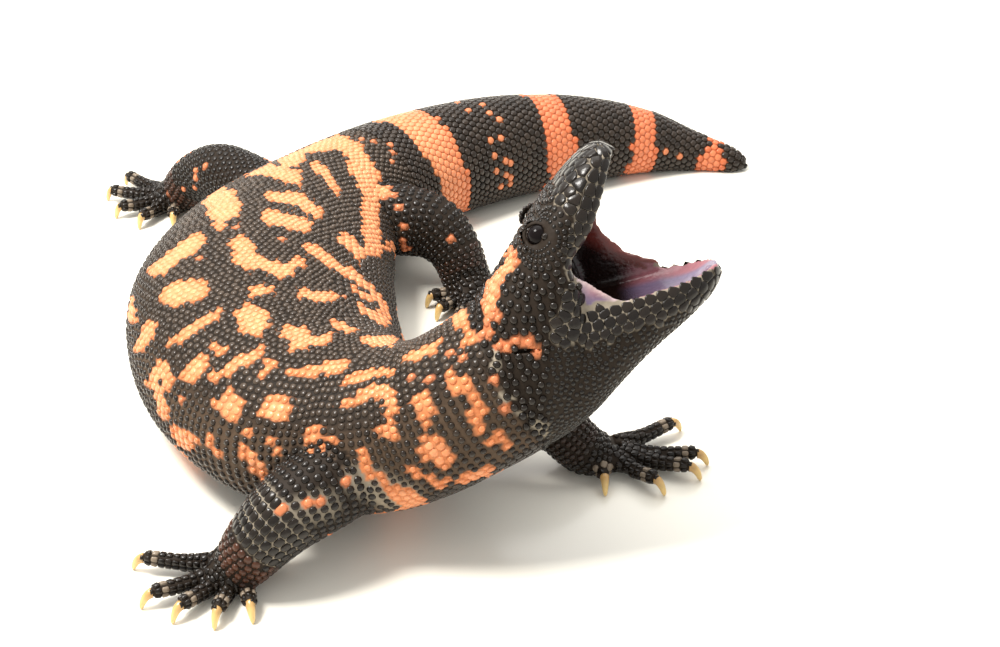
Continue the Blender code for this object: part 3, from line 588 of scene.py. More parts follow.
def head_point(x, z, out):
    """A point of the head's side view, at a distance from the midline, the right side positive."""
    ox, oy, oz = HEAD_ORIGIN
    x, z, out = np.broadcast_arrays(x, z, out)
    return np.stack([
        ox + x,
        oy + z * math.sin(LEAN) - out * math.cos(LEAN),
        oz + z * math.cos(LEAN) + out * math.sin(LEAN),
    ], axis=-1)


def head_coordinates(points):
    """The side view's x and z and the distance from the midline of points in the photo frame."""
    x, y, z = (points - np.array(HEAD_ORIGIN)).T
    side_z = y * math.sin(LEAN) + z * math.cos(LEAN)
    return x, side_z, -y * math.cos(LEAN) + z * math.sin(LEAN)


def lower_side(across, rise, waist, hollow, depth):
    """The lower half of a head section: round, or a lip with a hollow inside it, or between them."""
    turn = np.arcsin(np.minimum(1.0, rise)) / (math.pi / 2)
    sign = np.where(across < 0, -1.0, 1.0)
    round_out = sign * np.cos(turn * math.pi / 2) ** LIP_ROUND
    round_level = waist * (1 - np.sin(turn * math.pi / 2) ** LIP_ROUND)
    share = turn / LIP_TURN
    inside = (turn - LIP_TURN) / (1 - LIP_TURN)
    lip_out = 1 - (1 - LIP_SHARE) * share**2
    hollow_out = sign * np.where(turn < LIP_TURN, lip_out, LIP_SHARE * np.cos(inside * math.pi / 2))
    hollow_level = np.where(turn < LIP_TURN, waist * (1 - share), depth * np.sin(inside * math.pi / 2))
    return mixed(round_out, hollow_out, hollow), mixed(round_level, hollow_level, hollow)


def head_points(sections, places, angles, grow=0.0):
    """Points of the skull or the jaw: one row of angles at each place."""
    values = [(*a, *b, width, waist, hollow, depth) for a, b, width, waist, hollow, depth in sections]
    rows = smooth_rows(values, places)
    crown, foot = rows[:, None, 0:2], rows[:, None, 2:4]
    width, waist, hollow, depth = (rows[:, k][:, None] for k in range(4, 8))
    span = crown - foot
    length = np.linalg.norm(span, axis=2)[..., None]
    unit = span / length
    foot = foot - unit * grow
    length = length + 2 * grow
    across, rise = np.cos(angles), np.sin(angles)
    top_out = np.sign(across) * np.abs(across) ** CROWN_ROUND
    top_level = waist + (1 - waist) * np.maximum(rise, 0.0) ** CROWN_RISE
    low_out, low_level = lower_side(across, np.maximum(-rise, 0.0), waist, hollow, depth)
    out = np.where(rise >= 0, top_out, low_out)
    level = np.where(rise >= 0, top_level, low_level)
    spot = foot + unit * (level[..., None] * length)
    return head_point(spot[..., 0], spot[..., 1], -out * (width + grow))


def turned_over(sections):
    return [(low, lip, width, waist, hollow, depth) for lip, low, width, waist, hollow, depth in sections]


def head_places(sections, pitch):
    values = [(a[0] + b[0], a[1] + b[1], 0.0) for a, b, *_ in sections]
    return even_places(values, 0.0, len(values) - 1.0, pitch * 2)


def toe_rows(centre, direction, reach):
    across = np.array([math.cos(direction), math.sin(direction)])
    centre = np.array(centre)
    return [
        (*(centre + across * share * reach), height, TOE_RADIUS + wider, TOE_RADIUS + taller)
        for share, height, wider, taller in TOE_SHAPE
    ]


def find_move():
    """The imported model's place against the photo frame, from the middle of the right eye."""
    low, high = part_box("eye_right")
    middle = np.array((low + high) / 2) / MM
    return middle - head_point(EYE[0], EYE[1], EYE_OUT)


MOVE = find_move()


def mesh_of_rings(name, rings, looped=False):
    """One closed mesh of quads between rings, with a fan over each end unless it is a loop."""
    count, sides, _ = rings.shape
    points = rings.reshape(-1, 3)
    faces = []
    for ring in range(count if looped else count - 1):
        for corner in range(sides):
            a, b = ring * sides + corner, ring * sides + (corner + 1) % sides
            shift = (ring + 1) % count * sides - ring * sides
            faces.append((a, b, b + shift, a + shift))
    if not looped:
        points = np.vstack([points, rings[0].mean(axis=0), rings[-1].mean(axis=0)])
        first, last = count * sides, count * sides + 1
        base = (count - 1) * sides
        for corner in range(sides):
            after = (corner + 1) % sides
            faces.append((first, after, corner))
            faces.append((last, base + corner, base + after))
    mesh = bpy.data.meshes.new(name)
    mesh.from_pydata([tuple(p) for p in (points + MOVE) * MM], [], faces)
    mesh.update()
    return outward(mesh)


def outward(mesh):
    """Turns a closed mesh's faces out."""
    mesh.calc_loop_triangles()
    corners = numbers(mesh.loop_triangles, "vertices", np.int32)
    points = numbers(mesh.vertices, "co")
    a, b, c = (points[corners[:, k]] for k in range(3))
    if np.einsum("ij,ij->i", a, np.cross(b, c)).sum() < 0:
        mesh.flip_normals()
    return mesh


def put(name, data):
    thing = bpy.data.objects.new(name, data)
    bpy.context.scene.collection.objects.link(thing)
    return thing


def applied(thing):
    """Replaces the object's mesh by its evaluated one."""
    graph = bpy.context.evaluated_depsgraph_get()
    mesh = bpy.data.meshes.new_from_object(thing.evaluated_get(graph))
    thing.modifiers.clear()
    old = thing.data
    thing.data = mesh
    bpy.data.meshes.remove(old)


def ball_rings(centre, sizes, turn=0.0):
    """An egg in head directions, turned within the side view."""
    rings = []
    angle = np.arange(BALL_SIDES) * 2 * math.pi / BALL_SIDES
    for step in range(1, BALL_SIDES // 2):
        polar = step * math.pi / (BALL_SIDES // 2)
        a = sizes[0] * math.sin(polar) * np.cos(angle)
        b = sizes[1] * math.sin(polar) * np.sin(angle)
        x = centre[0] + a * math.cos(turn) - b * math.sin(turn)
        z = centre[1] + a * math.sin(turn) + b * math.cos(turn)
        rings.append(head_point(x, z, centre[2] + sizes[2] * math.cos(polar)))
    return np.array(rings)


def lid_spot(radius, around):
    """Side view and distance from the midline of a place round the eye, on the side of the head."""
    x, z = radius * np.cos(around) * LID_LONG, radius * np.sin(around)
    fall = LID_TILT * (x * LID_CROWN[0] + z * LID_CROWN[1])
    return EYE[0] + x, EYE[1] + z, EYE_OUT + LID_OUT - fall


def lid_rings(side):
    rings = []
    angle = np.arange(LID_SIDES) * 2 * math.pi / LID_SIDES
    for around in np.linspace(0.0, 2 * math.pi, LID_RINGS, endpoint=False):
        x, z, out = lid_spot(LID_RADIUS + LID_THICKNESS * np.cos(angle), around)
        rings.append(head_point(x, z, side * (out + LID_THICKNESS * np.sin(angle))))
    return np.array(rings)


def inner_side(sections, places, angles):
    """Whether each corner of the sections of a skull or jaw lies inside the mouth."""
    hollow = smooth_rows([(row[4], row[5]) for row in sections], places)[:, :1]
    turn = np.arcsin(np.clip(-np.sin(angles), 0.0, 1.0)) / (math.pi / 2)
    return (hollow > HOLLOW_FROM) & (turn > LIP_TURN * INNER_TURN)


def flesh():
    """The closed lofts of all flesh, each a mesh, and points that say which part a place belongs to."""
    meshes = []
    marks = []

    def add(name, rings, kind, looped=False):
        meshes.append(mesh_of_rings(name, rings, looped))
        marks.append((rings.reshape(-1, 3), np.broadcast_to(kind, rings.shape[:2]).ravel()))

    places = even_places(spine_rows(), 0.0, len(SPINE) - 1.0, TRUNK_STEP)
    add("trunk", body_points(places, ring_angles(TRUNK_SIDES, places), -SKIN_INSET), TRUNK)
    add("nape", ball_rings(NAPE, NAPE_SIZE, NAPE_TURN), TRUNK)
    for leg, rows in LEGS.items():
        places = even_places(rows, 0.0, len(rows) - 1.0, LEG_STEP)
        rings = tube_points(rows, places, ring_angles(LEG_SIDES, places), -SKIN_INSET)
        middle = rings[-1].mean(axis=0)
        front = middle + (rings[-1] - middle) * ANKLE_SHARE
        front += (middle - rings[-2].mean(axis=0)) * ANKLE_STEP
        front[:, 2] = np.maximum(front[:, 2], FLOOR)
        add(f"{leg}_leg", np.concatenate([rings, [front]]), LEG)
        centre, toes = FEET[leg]
        for degrees, reach in toes:
            toe = toe_rows(centre, math.radians(degrees), reach)
            places = np.linspace(0.0, len(toe) - 1.0, TOE_RINGS)
            add("toe", tube_points(toe, places, ring_angles(TOE_SIDES, places), -SKIN_INSET), FOOT)
    for name, sections in (("skull", SKULL), ("jaw", turned_over(JAW))):
        places = head_places(sections, HEAD_STEP)
        angles = ring_angles(HEAD_SIDES, places)
        kinds = np.where(inner_side(sections, places, angles), LINING, HEAD)
        add(name, head_points(sections, places, angles, -HEAD_INSET), kinds)
    for side in (1, -1):
        rings = np.array([
            [head_point(x, z, side * (out + edge)) for x, z, out in WEBS[side]]
            for edge in (-WEB_THICKNESS / 2, WEB_THICKNESS / 2)
        ])
        add("web", rings, MEMBRANE)
        add("lids", lid_rings(side), HEAD, True)
    for side in (1, -1):
        edge = np.array(WEBS[side])
        for share in WEB_MARKS:
            x, z, out = mixed(edge.mean(axis=0), edge, share).T
            marks.append((head_point(x, z, side * out), np.full(len(edge), MEMBRANE)))
    return meshes, marks


def joined(name, meshes):
    """One object of several meshes."""
    points = []
    faces = []
    base = 0
    for mesh in meshes:
        points.append(numbers(mesh.vertices, "co"))
        faces.extend([base + v for v in f.vertices] for f in mesh.polygons)
        base += len(mesh.vertices)
        bpy.data.meshes.remove(mesh)
    made = bpy.data.meshes.new(name)
    made.from_pydata([tuple(p) for p in np.vstack(points)], [], faces)
    made.update()
    return put(name, made)


def cut_out(thing, rings):
    """Cuts a closed shape out of the object."""
    cutter = put("cutter", mesh_of_rings("cutter", rings))
    cut = thing.modifiers.new("cut", "BOOLEAN")
    cut.operation = "DIFFERENCE"
    cut.solver = "MANIFOLD"
    cut.object = cutter
    applied(thing)
    bpy.data.objects.remove(cutter)


def soften(thing, iterations, group=""):
    step = thing.modifiers.new("soften", "SMOOTH")
    step.factor = SOFTNESS
    step.iterations = iterations
    step.vertex_group = group


def make_skin():
    """All flesh melted into one surface, smoothed, with its mouth, sockets and slits hollowed."""
    meshes, marks = flesh()
    skin = joined("skin", meshes)
    melt = skin.modifiers.new("melt", "REMESH")
    melt.mode = "VOXEL"
    melt.voxel_size = VOXEL * MM
    applied(skin)
    gullet = ball_rings((*GULLET, 0.0), GULLET_SIZE)
    marks.append((gullet.reshape(-1, 3), np.full(gullet.shape[0] * gullet.shape[1], PIT)))
    cut_out(skin, gullet)
    seam = skin.vertex_groups.new(name="seam")
    near_seam = np.abs(head_region(points_of(skin.data))) < SEAM_REACH
    seam.add([int(v) for v in np.where(near_seam)[0]], 1.0, "REPLACE")
    soften(skin, SEAM_ROUNDS, "seam")
    soften(skin, SKIN_ROUNDS)
    applied(skin)
    skin.vertex_groups.clear()
    ear_turn = math.atan2(EAR[1][1] - EAR[0][1], EAR[1][0] - EAR[0][0])
    ear = ((EAR[0][0] + EAR[1][0]) / 2, (EAR[0][1] + EAR[1][1]) / 2)
    for side in (1, -1):
        cut_out(skin, ball_rings((*EYE, side * EYE_OUT), (EYE_RADIUS + SOCKET_GAP,) * 3))
        cut_out(skin, ball_rings((*NOSTRIL, side * NOSTRIL_OUT), NOSTRIL_SIZE))
        cut_out(skin, ball_rings((*ear, side * EAR_OUT), EAR_SIZE, ear_turn))
    thin = skin.modifiers.new("thin", "DECIMATE")
    triangles = sum(len(f.vertices) - 2 for f in skin.data.polygons)
    thin.ratio = min(1.0, SKIN_FACES / triangles)
    applied(skin)
    skin.data.shade_smooth()
    lift_to_floor(skin.data)
    return skin, marks


def lift_to_floor(mesh):
    """Brings what lies below the floor up to it."""
    points = numbers(mesh.vertices, "co")
    points[:, 2] = np.maximum(points[:, 2], 0.0)
    mesh.vertices.foreach_set("co", points.ravel())
    mesh.update()


def points_of(mesh):
    return numbers(mesh.vertices, "co") / MM - MOVE


def tree_of(points):
    tree = KDTree(len(points))
    for number, point in enumerate(points):
        tree.insert(point, number)
    tree.balance()
    return tree


class Surface:
    """The skin as a thing to look places up on, in the photo frame."""

    def __init__(self, skin, marks):
        graph = bpy.context.evaluated_depsgraph_get()
        self.tree = BVHTree.FromObject(skin, graph)
        self.points = points_of(skin.data)
        self.normals = numbers(skin.data.vertices, "normal")
        self.corners = [tuple(f.vertices) for f in skin.data.polygons]
        skin.data.calc_loop_triangles()
        self.triangles = numbers(skin.data.loop_triangles, "vertices", np.int32)
        kinds = np.concatenate([kind for _, kind in marks])
        tree = tree_of(np.concatenate([point for point, _ in marks]))
        self.kinds = np.array([kinds[tree.find(point)[1]] for point in self.points])
        self.kinds[in_mouth(self.points) & (self.kinds < LINING)] = LINING

    def nearest(self, points):
        """Nearest places on the skin with smoothed normals, distances and kinds."""
        spots = np.empty((len(points), 3))
        normals = np.empty((len(points), 3))
        gaps = np.empty(len(points))
        kinds = np.empty(len(points), int)
        for number, point in enumerate((points + MOVE) * MM):
            spot, _, face, gap = self.tree.find_nearest(point)
            corners = list(self.corners[face])
            spots[number] = spot
            gaps[number] = gap / MM
            normals[number] = self.normals[corners].mean(axis=0)
            kinds[number] = self.kinds[corners].max()
        return spots / MM - MOVE, unit(normals), gaps, kinds


# What each raised scale holds besides its place and directions, with the usual values
SEED_VALUES = {
    "space": 3.0, "tall": 0.7, "kind": TRUNK, "fill": 0.86, "plate": 0.0,
    "run": 0.0, "angle": 0.0, "pale": 0.0, "rust": 0.0,
}


class Seeds:
    """Places of raised scales, gathered part by part."""

    def __init__(self):
        self.parts = []

    def add(self, point, normal, along, **values):
        part = {"point": point, "normal": normal, "along": flat_to(normal, along)}
        for key, usual in SEED_VALUES.items():
            part[key] = np.broadcast_to(np.asarray(values.get(key, usual), float), len(point)).copy()
        self.parts.append(part)

    def close(self):
        return {key: np.concatenate([part[key] for part in self.parts]) for key in self.parts[0]}


def in_mouth(points):
    """Whether places lie between the jaws, inside the lips."""
    x, z, out = head_coordinates(points)
    skull = np.array([(row[1][1], row[1][0], row[2]) for row in SKULL[3:]])
    jaw = np.array([(row[0][0], row[0][1], row[2]) for row in JAW])
    wide = np.minimum(np.interp(z, skull[:, 0], skull[:, 2]), np.interp(x, jaw[:, 0], jaw[:, 2]))
    margin = np.where(np.abs(out) < MOUTH_CORE * wide, CORE_MARGIN, MOUTH_MARGIN)
    ahead = x > np.interp(z, skull[:, 0], skull[:, 1]) - margin
    above = z > np.interp(x, jaw[:, 0], jaw[:, 1]) - margin
    return ahead & above & (np.abs(out) < MOUTH_WIDTH * wide) & (z < MOUTH_TOP)


def tube_seeds(points_at, rows, start, end, style, shifts=STAGGERED):
    """Rows of candidates round a tube: place, angle, distance to the next row and row number."""
    pitch, spacing, jitter, *_ = STYLES[style]
    places = even_places(rows, start, end, pitch)
    dense = points_at(places, ring_angles(AROUND_STEPS, places))
    run = np.linalg.norm(np.diff(np.concatenate([dense, dense[:, :1]], axis=1), axis=1), axis=2)
    ahead = np.linalg.norm(np.diff(dense, axis=0, append=dense[-1:]), axis=2)
    ahead[-1] = ahead[-2]
    chosen = []
    for number, place in enumerate(places):
        reach = np.concatenate([[0.0], np.cumsum(run[number])])
        count = max(LEAST_IN_ROW, int(round(reach[-1] / spacing)))
        shift = shifts[number % 2] + RANDOM.normal(0.0, jitter, count)
        marks = ((np.arange(count) + shift) / count % 1.0) * reach[-1]
        angle = np.interp(marks, reach, np.arange(AROUND_STEPS + 1) * 2 * math.pi / AROUND_STEPS)
        local = np.interp(marks, reach[:-1], ahead[number])
        chosen.extend((place, a, step, number) for a, step in zip(angle, local))
    return np.array(chosen)


def points_on(points_at, chosen):
    """The surface points of chosen places and angles, and the direction along the tube."""
    here = points_at(chosen[:, 0], chosen[:, 1][:, None])[:, 0]
    ahead = points_at(chosen[:, 0] + TANGENT_STEP, chosen[:, 1][:, None])[:, 0]
    along = ahead - here
    length = np.linalg.norm(along, axis=1)[:, None]
    return here, along / np.maximum(length, 1e-9)


def flat_to(normal, along):
    """The directions along, laid into the surface."""
    along = along - normal * np.einsum("ij,ij->i", along, normal)[:, None]
    length = np.linalg.norm(along, axis=1)
    along[length < 1e-6] = np.cross(normal[length < 1e-6], (1.0, 0.0, 0.0))
    return along / np.maximum(np.linalg.norm(along, axis=1)[:, None], 1e-9)


def place_seeds(seeds, surface, at, chosen, kind, style, **values):
    """Candidates brought onto the skin; those far from it lie inside another part and are dropped."""
    *_, far, space, tall, fill = STYLES[style]
    values = {"kind": kind, "space": space, "tall": tall, "fill": fill, **values}
    point, along = points_on(at, chosen)
    spot, normal, gap, found = surface.nearest(point)
    keep = (gap < far) & (spot[:, 2] > LOWEST_SCALE) & (found < LINING)
    kept = {key: value[keep] if np.ndim(value) else value for key, value in values.items()}
    seeds.add(spot[keep], normal[keep], along[keep], **kept)


def ramp(values, low, high):
    """0 up to low, 1 from high, and a smooth rise between."""
    share = np.clip((np.asarray(values, float) - low) / (high - low), 0.0, 1.0)
    return share * share * (3 - 2 * share)


def runs_of(places):
    """Distances along the spine from the tip of the tail."""
    fine = np.linspace(0.0, len(SPINE) - 1.0, RUN_STEPS)
    return np.interp(places, fine, lengths_along(smooth_rows(spine_rows(), fine)[:, :3]))


def trunk_seeds(seeds, surface):
    """Rows of beads, thinned where the inner flank crowds them, and the tail's rings of plates."""
    vent = place_of("vent")
    chosen = tube_seeds(body_points, spine_rows(), vent, place_of("neck_top"), "trunk")
    chosen = chosen[(chosen[:, 3] % 2 == 0) | (chosen[:, 2] > CROWDED)]
    chosen = chosen[head_region(points_on(body_points, chosen)[0]) < -SEAM_REACH]
    height = np.sin(chosen[:, 1])
    back = ramp(height, *BACK_RAMP)
    belly = height < BELLY_LEVEL
    *_, tall, fill = STYLES["trunk"]
    place_seeds(
        seeds, surface, body_points, chosen, TRUNK, "trunk", plate=belly * 1.0,
        tall=np.where(belly, BELLY_TALL, tall + BACK_TALL * back),
        fill=np.where(belly, BELLY_FILL, fill + BACK_FILL * back),
        run=runs_of(chosen[:, 0]), angle=chosen[:, 1],
    )
    chosen = tube_seeds(body_points, spine_rows(), TAIL_START, vent, "tail")
    run = runs_of(chosen[:, 0])
    place_seeds(seeds, surface, body_points, chosen, TAIL, "tail", plate=1.0, run=run, angle=chosen[:, 1])


def leg_seeds(seeds, surface):
    """The scales of each leg, of its wrist or ankle, of its foot and of its toes."""
    for leg, rows in LEGS.items():
        at = partial(tube_points, rows)
        chosen = tube_seeds(at, rows, 0.0, ANKLE, "leg")
        plate = ((leg == "fore_right") & (chosen[:, 0] > FOREARM[0]) & (chosen[:, 0] < FOREARM[1])) * 1.0
        *_, tall, fill = STYLES["leg"]
        tall, fill = tall + FOREARM_TALL * plate, fill + FOREARM_FILL * plate
        place_seeds(seeds, surface, at, chosen, LEG, "leg", tall=tall, fill=fill, plate=plate)
        chosen = tube_seeds(at, rows, ANKLE, WRIST, "wrist", ALIGNED)
        place_seeds(seeds, surface, at, chosen, FOOT, "wrist", rust=RUST[leg])
        chosen = tube_seeds(at, rows, WRIST + WRIST_GAP, len(rows) - 1.0, "foot")
        place_seeds(seeds, surface, at, chosen, FOOT, "foot")
        centre, toes = FEET[leg]
        for degrees, reach in toes:
            toe = toe_rows(centre, math.radians(degrees), reach)
            at = partial(tube_points, toe)
            chosen = tube_seeds(at, toe, 0.0, len(toe) - TOE_END, "toe", BESIDE)
            pale = (chosen[:, 3] == chosen[:, 3].max() - PALE_ROW) * 1.0
            place_seeds(seeds, surface, at, chosen, FOOT, "toe", plate=1.0, pale=pale)


def head_region(points):
    """How far points lie on the head's side of the cut at the neck's end, in the side view."""
    x, z, _ = head_coordinates(points)
    (ax, az), (bx, bz) = SKULL[0][0], SKULL[0][1]
    length = math.hypot(bx - ax, bz - az)
    nx, nz = -(bz - az) / length, (bx - ax) / length
    return (x - ax) * nx + (z - az) * nz


def head_spacing(x, z):
    """Distance between scales on the head, and whether they are plates."""
    space = np.full(len(x), CHEEK_SPACE)
    plate = np.zeros(len(x))
    for low_x, high_x, low_z, high_z, plate_space in HEAD_ZONES:
        inside = (x > low_x) & (x < high_x) & (z > low_z) & (z < high_z)
        space = np.where(inside, plate_space, space)
        plate = np.where(inside, 1.0, plate)
    below = jaw_depth(x, z)
    throat = (below > THROAT_DEPTH) & (x > THROAT_START)
    return np.where(throat, THROAT_SPACE, space), np.where(throat, 0.0, plate)


def jaw_depth(x, z):
    """How far below the lower lip places of the side view lie."""
    lip = np.array([row[0] for row in JAW])
    return np.interp(x, lip[:, 0], lip[:, 1]) - z


def lip_seeds(seeds, surface, sections, start, lines):
    """Rows of plates along a lip."""
    values = np.array([(*crown, *foot, waist) for crown, foot, _, waist, *_ in sections])
    for number, (depth, tall) in enumerate(lines):
        edge = [(foot[0], foot[1], 0.0) for foot in values[:, 2:4]]
        places = even_places(edge, start, len(sections) - LIP_END, LABIAL_PITCH)
        places = places[number % 2:] - ROW_SHIFT * (number % 2)
        rows = smooth_rows(values, places)
        level = depth / np.linalg.norm(rows[:, 0:2] - rows[:, 2:4], axis=1)
        waist = rows[:, 4]
        rim = np.full(len(places), -LIP_TURN * math.pi / 2)
        under = rim * (1 - level / waist)
        over = np.arcsin(np.clip((level - waist) / (1 - waist), 0.0, 1.0) ** (1 / CROWN_RISE))
        angle = np.where(level < waist, under, over)
        for turned, edge in ((angle, rim), (math.pi - angle, math.pi - rim)):
            point = head_points(sections, places, turned[:, None])[:, 0]
            border = head_points(sections, places, edge[:, None])[:, 0]
            spot, normal, gap, found = surface.nearest(point)
            keep = (gap < LIP_REACH) & (found < LINING)
            along = np.gradient(point, axis=0)
            seeds.add(
                spot[keep], normal[keep], along[keep],
                space=LABIAL_PITCH, kind=HEAD, tall=tall, fill=1.0, plate=1.0,
            )
            if number == 0:
                beyond = (border + (border - spot) * LIP_BOUND)[keep]
                seeds.add(beyond, normal[keep], along[keep], space=0.5, kind=BOUND, plate=1.0)


def eye_seeds(seeds, surface):
    """Rings of granules round each eye."""
    for side in (1, -1):
        for radius, space, tall in EYE_RINGS:
            count = int(round(2 * math.pi * radius / space))
            x, z, out = lid_spot(radius, np.arange(count) * 2 * math.pi / count)
            point = head_point(x, z, side * out)
            spot, normal, _, _ = surface.nearest(point)
            along = np.gradient(point, axis=0)
            seeds.add(spot, normal, along, space=space, kind=HEAD, tall=tall, fill=EYE_FILL)


def head_seeds(seeds, surface):
    """Plates along the lips, granules round the eyes, and the rest of the head filled at random."""
    lip_seeds(seeds, surface, SKULL, LIP_STARTS["skull"], LIP_ROWS[:2])
    lip_seeds(seeds, surface, turned_over(JAW), LIP_STARTS["jaw"], LIP_ROWS)
    eye_seeds(seeds, surface)
    taken = [
        (point, space)
        for part in seeds.parts
        for point, space, far in zip(part["point"], part["space"], head_region(part["point"]))
        if far > -NAPE_REACH - SEAM_REACH
    ]
    centre = surface.points[surface.triangles].mean(axis=1)
    own = np.isin(surface.kinds[surface.triangles], (TRUNK, HEAD)).all(axis=1)
    faces = np.where((head_region(centre) > -NAPE_REACH) & own)[0]
    points, space, plate = scattered(surface, faces, taken)
    spot, normal, _, _ = surface.nearest(points)
    along = head_point(*SNOUTWARD, 0.0) - head_point(0.0, 0.0, 0.0) + np.zeros_like(spot)
    shape = np.where(plate > 0, 1, np.where(space < GRANULE_BELOW, 0, 2))
    tall, fill = np.array(HEAD_TALL)[shape], np.array(HEAD_FILL)[shape]
    seeds.add(spot, normal, along, space=space, kind=HEAD, tall=tall, fill=fill, plate=plate)


def scattered(surface, faces, taken):
    """Random places on some triangles of the skin, settled into the middles of their cells."""
    corners = surface.points[surface.triangles[faces]]
    area = np.linalg.norm(np.cross(corners[:, 1] - corners[:, 0], corners[:, 2] - corners[:, 0]), axis=1)
    pick = RANDOM.choice(len(faces), SCATTER_TRIES, p=area / area.sum())
    u, v = RANDOM.random(SCATTER_TRIES), RANDOM.random(SCATTER_TRIES)
    flip = u + v > 1
    u, v = np.where(flip, 1 - u, u), np.where(flip, 1 - v, v)
    c = corners[pick]
    points = c[:, 0] + (c[:, 1] - c[:, 0]) * u[:, None] + (c[:, 2] - c[:, 0]) * v[:, None]
    x, z, _ = head_coordinates(points)
    space, _ = head_spacing(x, z)
    places = points[spaced(points, space, SCATTER_SHARE, taken)]
    fixed = np.array([point for point, _ in taken])
    for _ in range(SETTLE_STEPS):
        tree = tree_of(np.concatenate([places, fixed]))
        owner = np.array([tree.find(point)[1] for point in points])
        own = owner < len(places)
        count = np.maximum(np.bincount(owner[own], minlength=len(places)), 1)
        total = [np.bincount(owner[own], points[own, k], len(places)) for k in range(3)]
        places = np.stack(total, axis=1) / count[:, None]
    x, z, _ = head_coordinates(places)
    return places, *head_spacing(x, z)


def spaced(points, space, share, taken=()):
    """Numbers of the places that keep clear of those kept before them."""
    cell = 4.0
    grid = {}
    for point, reach in taken:
        grid.setdefault(tuple((point // cell).astype(int)), []).append((*point, reach))
    steps = [(i, j, k) for i in (-1, 0, 1) for j in (-1, 0, 1) for k in (-1, 0, 1)]
    kept = []
    for number, (x, y, z) in enumerate(points.tolist()):
        key = (int(x // cell), int(y // cell), int(z // cell))
        reach = float(space[number])
        others = (o for i, j, k in steps for o in grid.get((key[0] + i, key[1] + j, key[2] + k), ()))
        if all((x - a)**2 + (y - b)**2 + (z - c)**2 > (share * (reach + r))**2 for a, b, c, r in others):
            grid.setdefault(key, []).append((x, y, z, reach))
            kept.append(number)
    return np.array(kept)


def thinned(data):
    """Drops each place that lies too near to one kept before it, the wide ones first."""
    order = np.argsort(-data["space"] + RANDOM.random(len(data["space"])) * TIE_BREAK)
    data = {key: values[order] for key, values in data.items()}
    kept = spaced(data["point"], data["space"], THIN_SHARE)
    return {key: values[kept] for key, values in data.items()}


def neighbours(points):
    tree = tree_of(points)
    near = np.zeros((len(points), NEAR), int)
    for number, point in enumerate(points):
        row = [index for _, index, _ in tree.find_n(point, NEAR + 1) if index != number][:NEAR]
        near[number, :len(row)] = row
    return near


def cell_reach(data, near, sides):
    """How far each scale may reach in each direction: to the middle between it and its neighbours."""
    across = np.cross(data["normal"], data["along"])
    gap = data["point"][near] - data["point"][:, None]
    a = np.einsum("nkj,nj->nk", gap, data["along"])
    b = np.einsum("nkj,nj->nk", gap, across)
    size = a**2 + b**2
    reach = np.full((len(near), sides), FARTHEST)
    for side in range(sides):
        angle = (side + 0.5) * 2 * math.pi / sides
        toward = a * math.cos(angle) + b * math.sin(angle)
        ahead = toward > SIDEWAYS * np.sqrt(size)
        limit = np.where(ahead, size / 2 / np.maximum(toward, 1e-6), FARTHEST)
        reach[:, side] = limit.min(axis=1)
    most = np.where(data["plate"] > 0, 1.0, BEAD_LIMIT) * data["space"]
    return np.minimum(reach, most[:, None]), across


def bead_mesh(name, data, reach, across, chosen, profile, roundness):
    """One mesh of many scales. The profile is pairs of share of the reach and share of the height."""
    sides = reach.shape[1]
    angles = (np.arange(sides) + 0.5) * 2 * math.pi / sides
    spread = reach[chosen] * data["fill"][chosen][:, None]
    spread = mixed(spread, spread.mean(axis=1)[:, None], roundness)
    along, across, normal = data["along"][chosen], across[chosen], data["normal"][chosen]
    tall = data["tall"][chosen]
    ring_points = []
    patch = []
    for share, lift in profile:
        ring_points.append(
            data["point"][chosen][:, None]
            + along[:, None] * (np.cos(angles) * spread * share)[..., None]
            + across[:, None] * (np.sin(angles) * spread * share)[..., None]
            + (normal * (tall * lift)[:, None])[:, None]
        )
        patch.append(np.stack([np.cos(angles), np.sin(angles)], axis=1) * share)
    tip = data["point"][chosen] + normal * tall[:, None]
    block = np.concatenate([*ring_points, tip[:, None]], axis=1)
    block[..., 2] = np.maximum(block[..., 2], FLOOR)
    patch = np.concatenate([*patch, [(0.0, 0.0)]]) * PATCH / 2
    rings = len(profile)
    per = rings * sides + 1
    side = np.arange(sides)
    after = (side + 1) % sides
    band = np.stack([side, after, after + sides, side + sides], axis=1)
    quads = np.concatenate([band + ring * sides for ring in range(rings - 1)])
    last = (rings - 1) * sides
    fan = np.stack([last + side, last + after, np.full(sides, per - 1)], axis=1)
    base = np.arange(len(chosen))[:, None, None] * per
    quads = (quads[None] + base).reshape(-1, 4)
    fan = (fan[None] + base).reshape(-1, 3)
    mesh = bpy.data.meshes.new(name)
    mesh.vertices.add(len(chosen) * per)
    mesh.vertices.foreach_set("co", ((block.reshape(-1, 3) + MOVE) * MM).ravel())
    loops = np.concatenate([quads.ravel(), fan.ravel()]).astype(np.int32)
    mesh.loops.add(len(loops))
    mesh.loops.foreach_set("vertex_index", loops)
    starts = np.concatenate([np.arange(len(quads)) * 4, len(quads) * 4 + np.arange(len(fan)) * 3])
    mesh.polygons.add(len(starts))
    mesh.polygons.foreach_set("loop_start", starts.astype(np.int32))
    mesh.update(calc_edges=True)
    places = (data["uv"][chosen][:, None] + patch).reshape(-1, 2)
    mesh.uv_layers.new(name="OFBake").data.foreach_set("uv", places[loops].ravel())
    mesh.validate()
    paint(mesh, np.repeat(data["tint"][chosen], per, axis=0))
    mesh.shade_smooth()
    return put(name, mesh)


def paint(mesh, tint, dry=1.0):
    """Writes each vertex's colour, and in the fourth channel how dry it is."""
    layer = mesh.color_attributes.new("tint", "FLOAT_COLOR", "POINT")
    last = np.broadcast_to(dry, len(tint))[:, None]
    layer.data.foreach_set("color", np.concatenate([tint, last], axis=1).astype(np.float32).ravel())


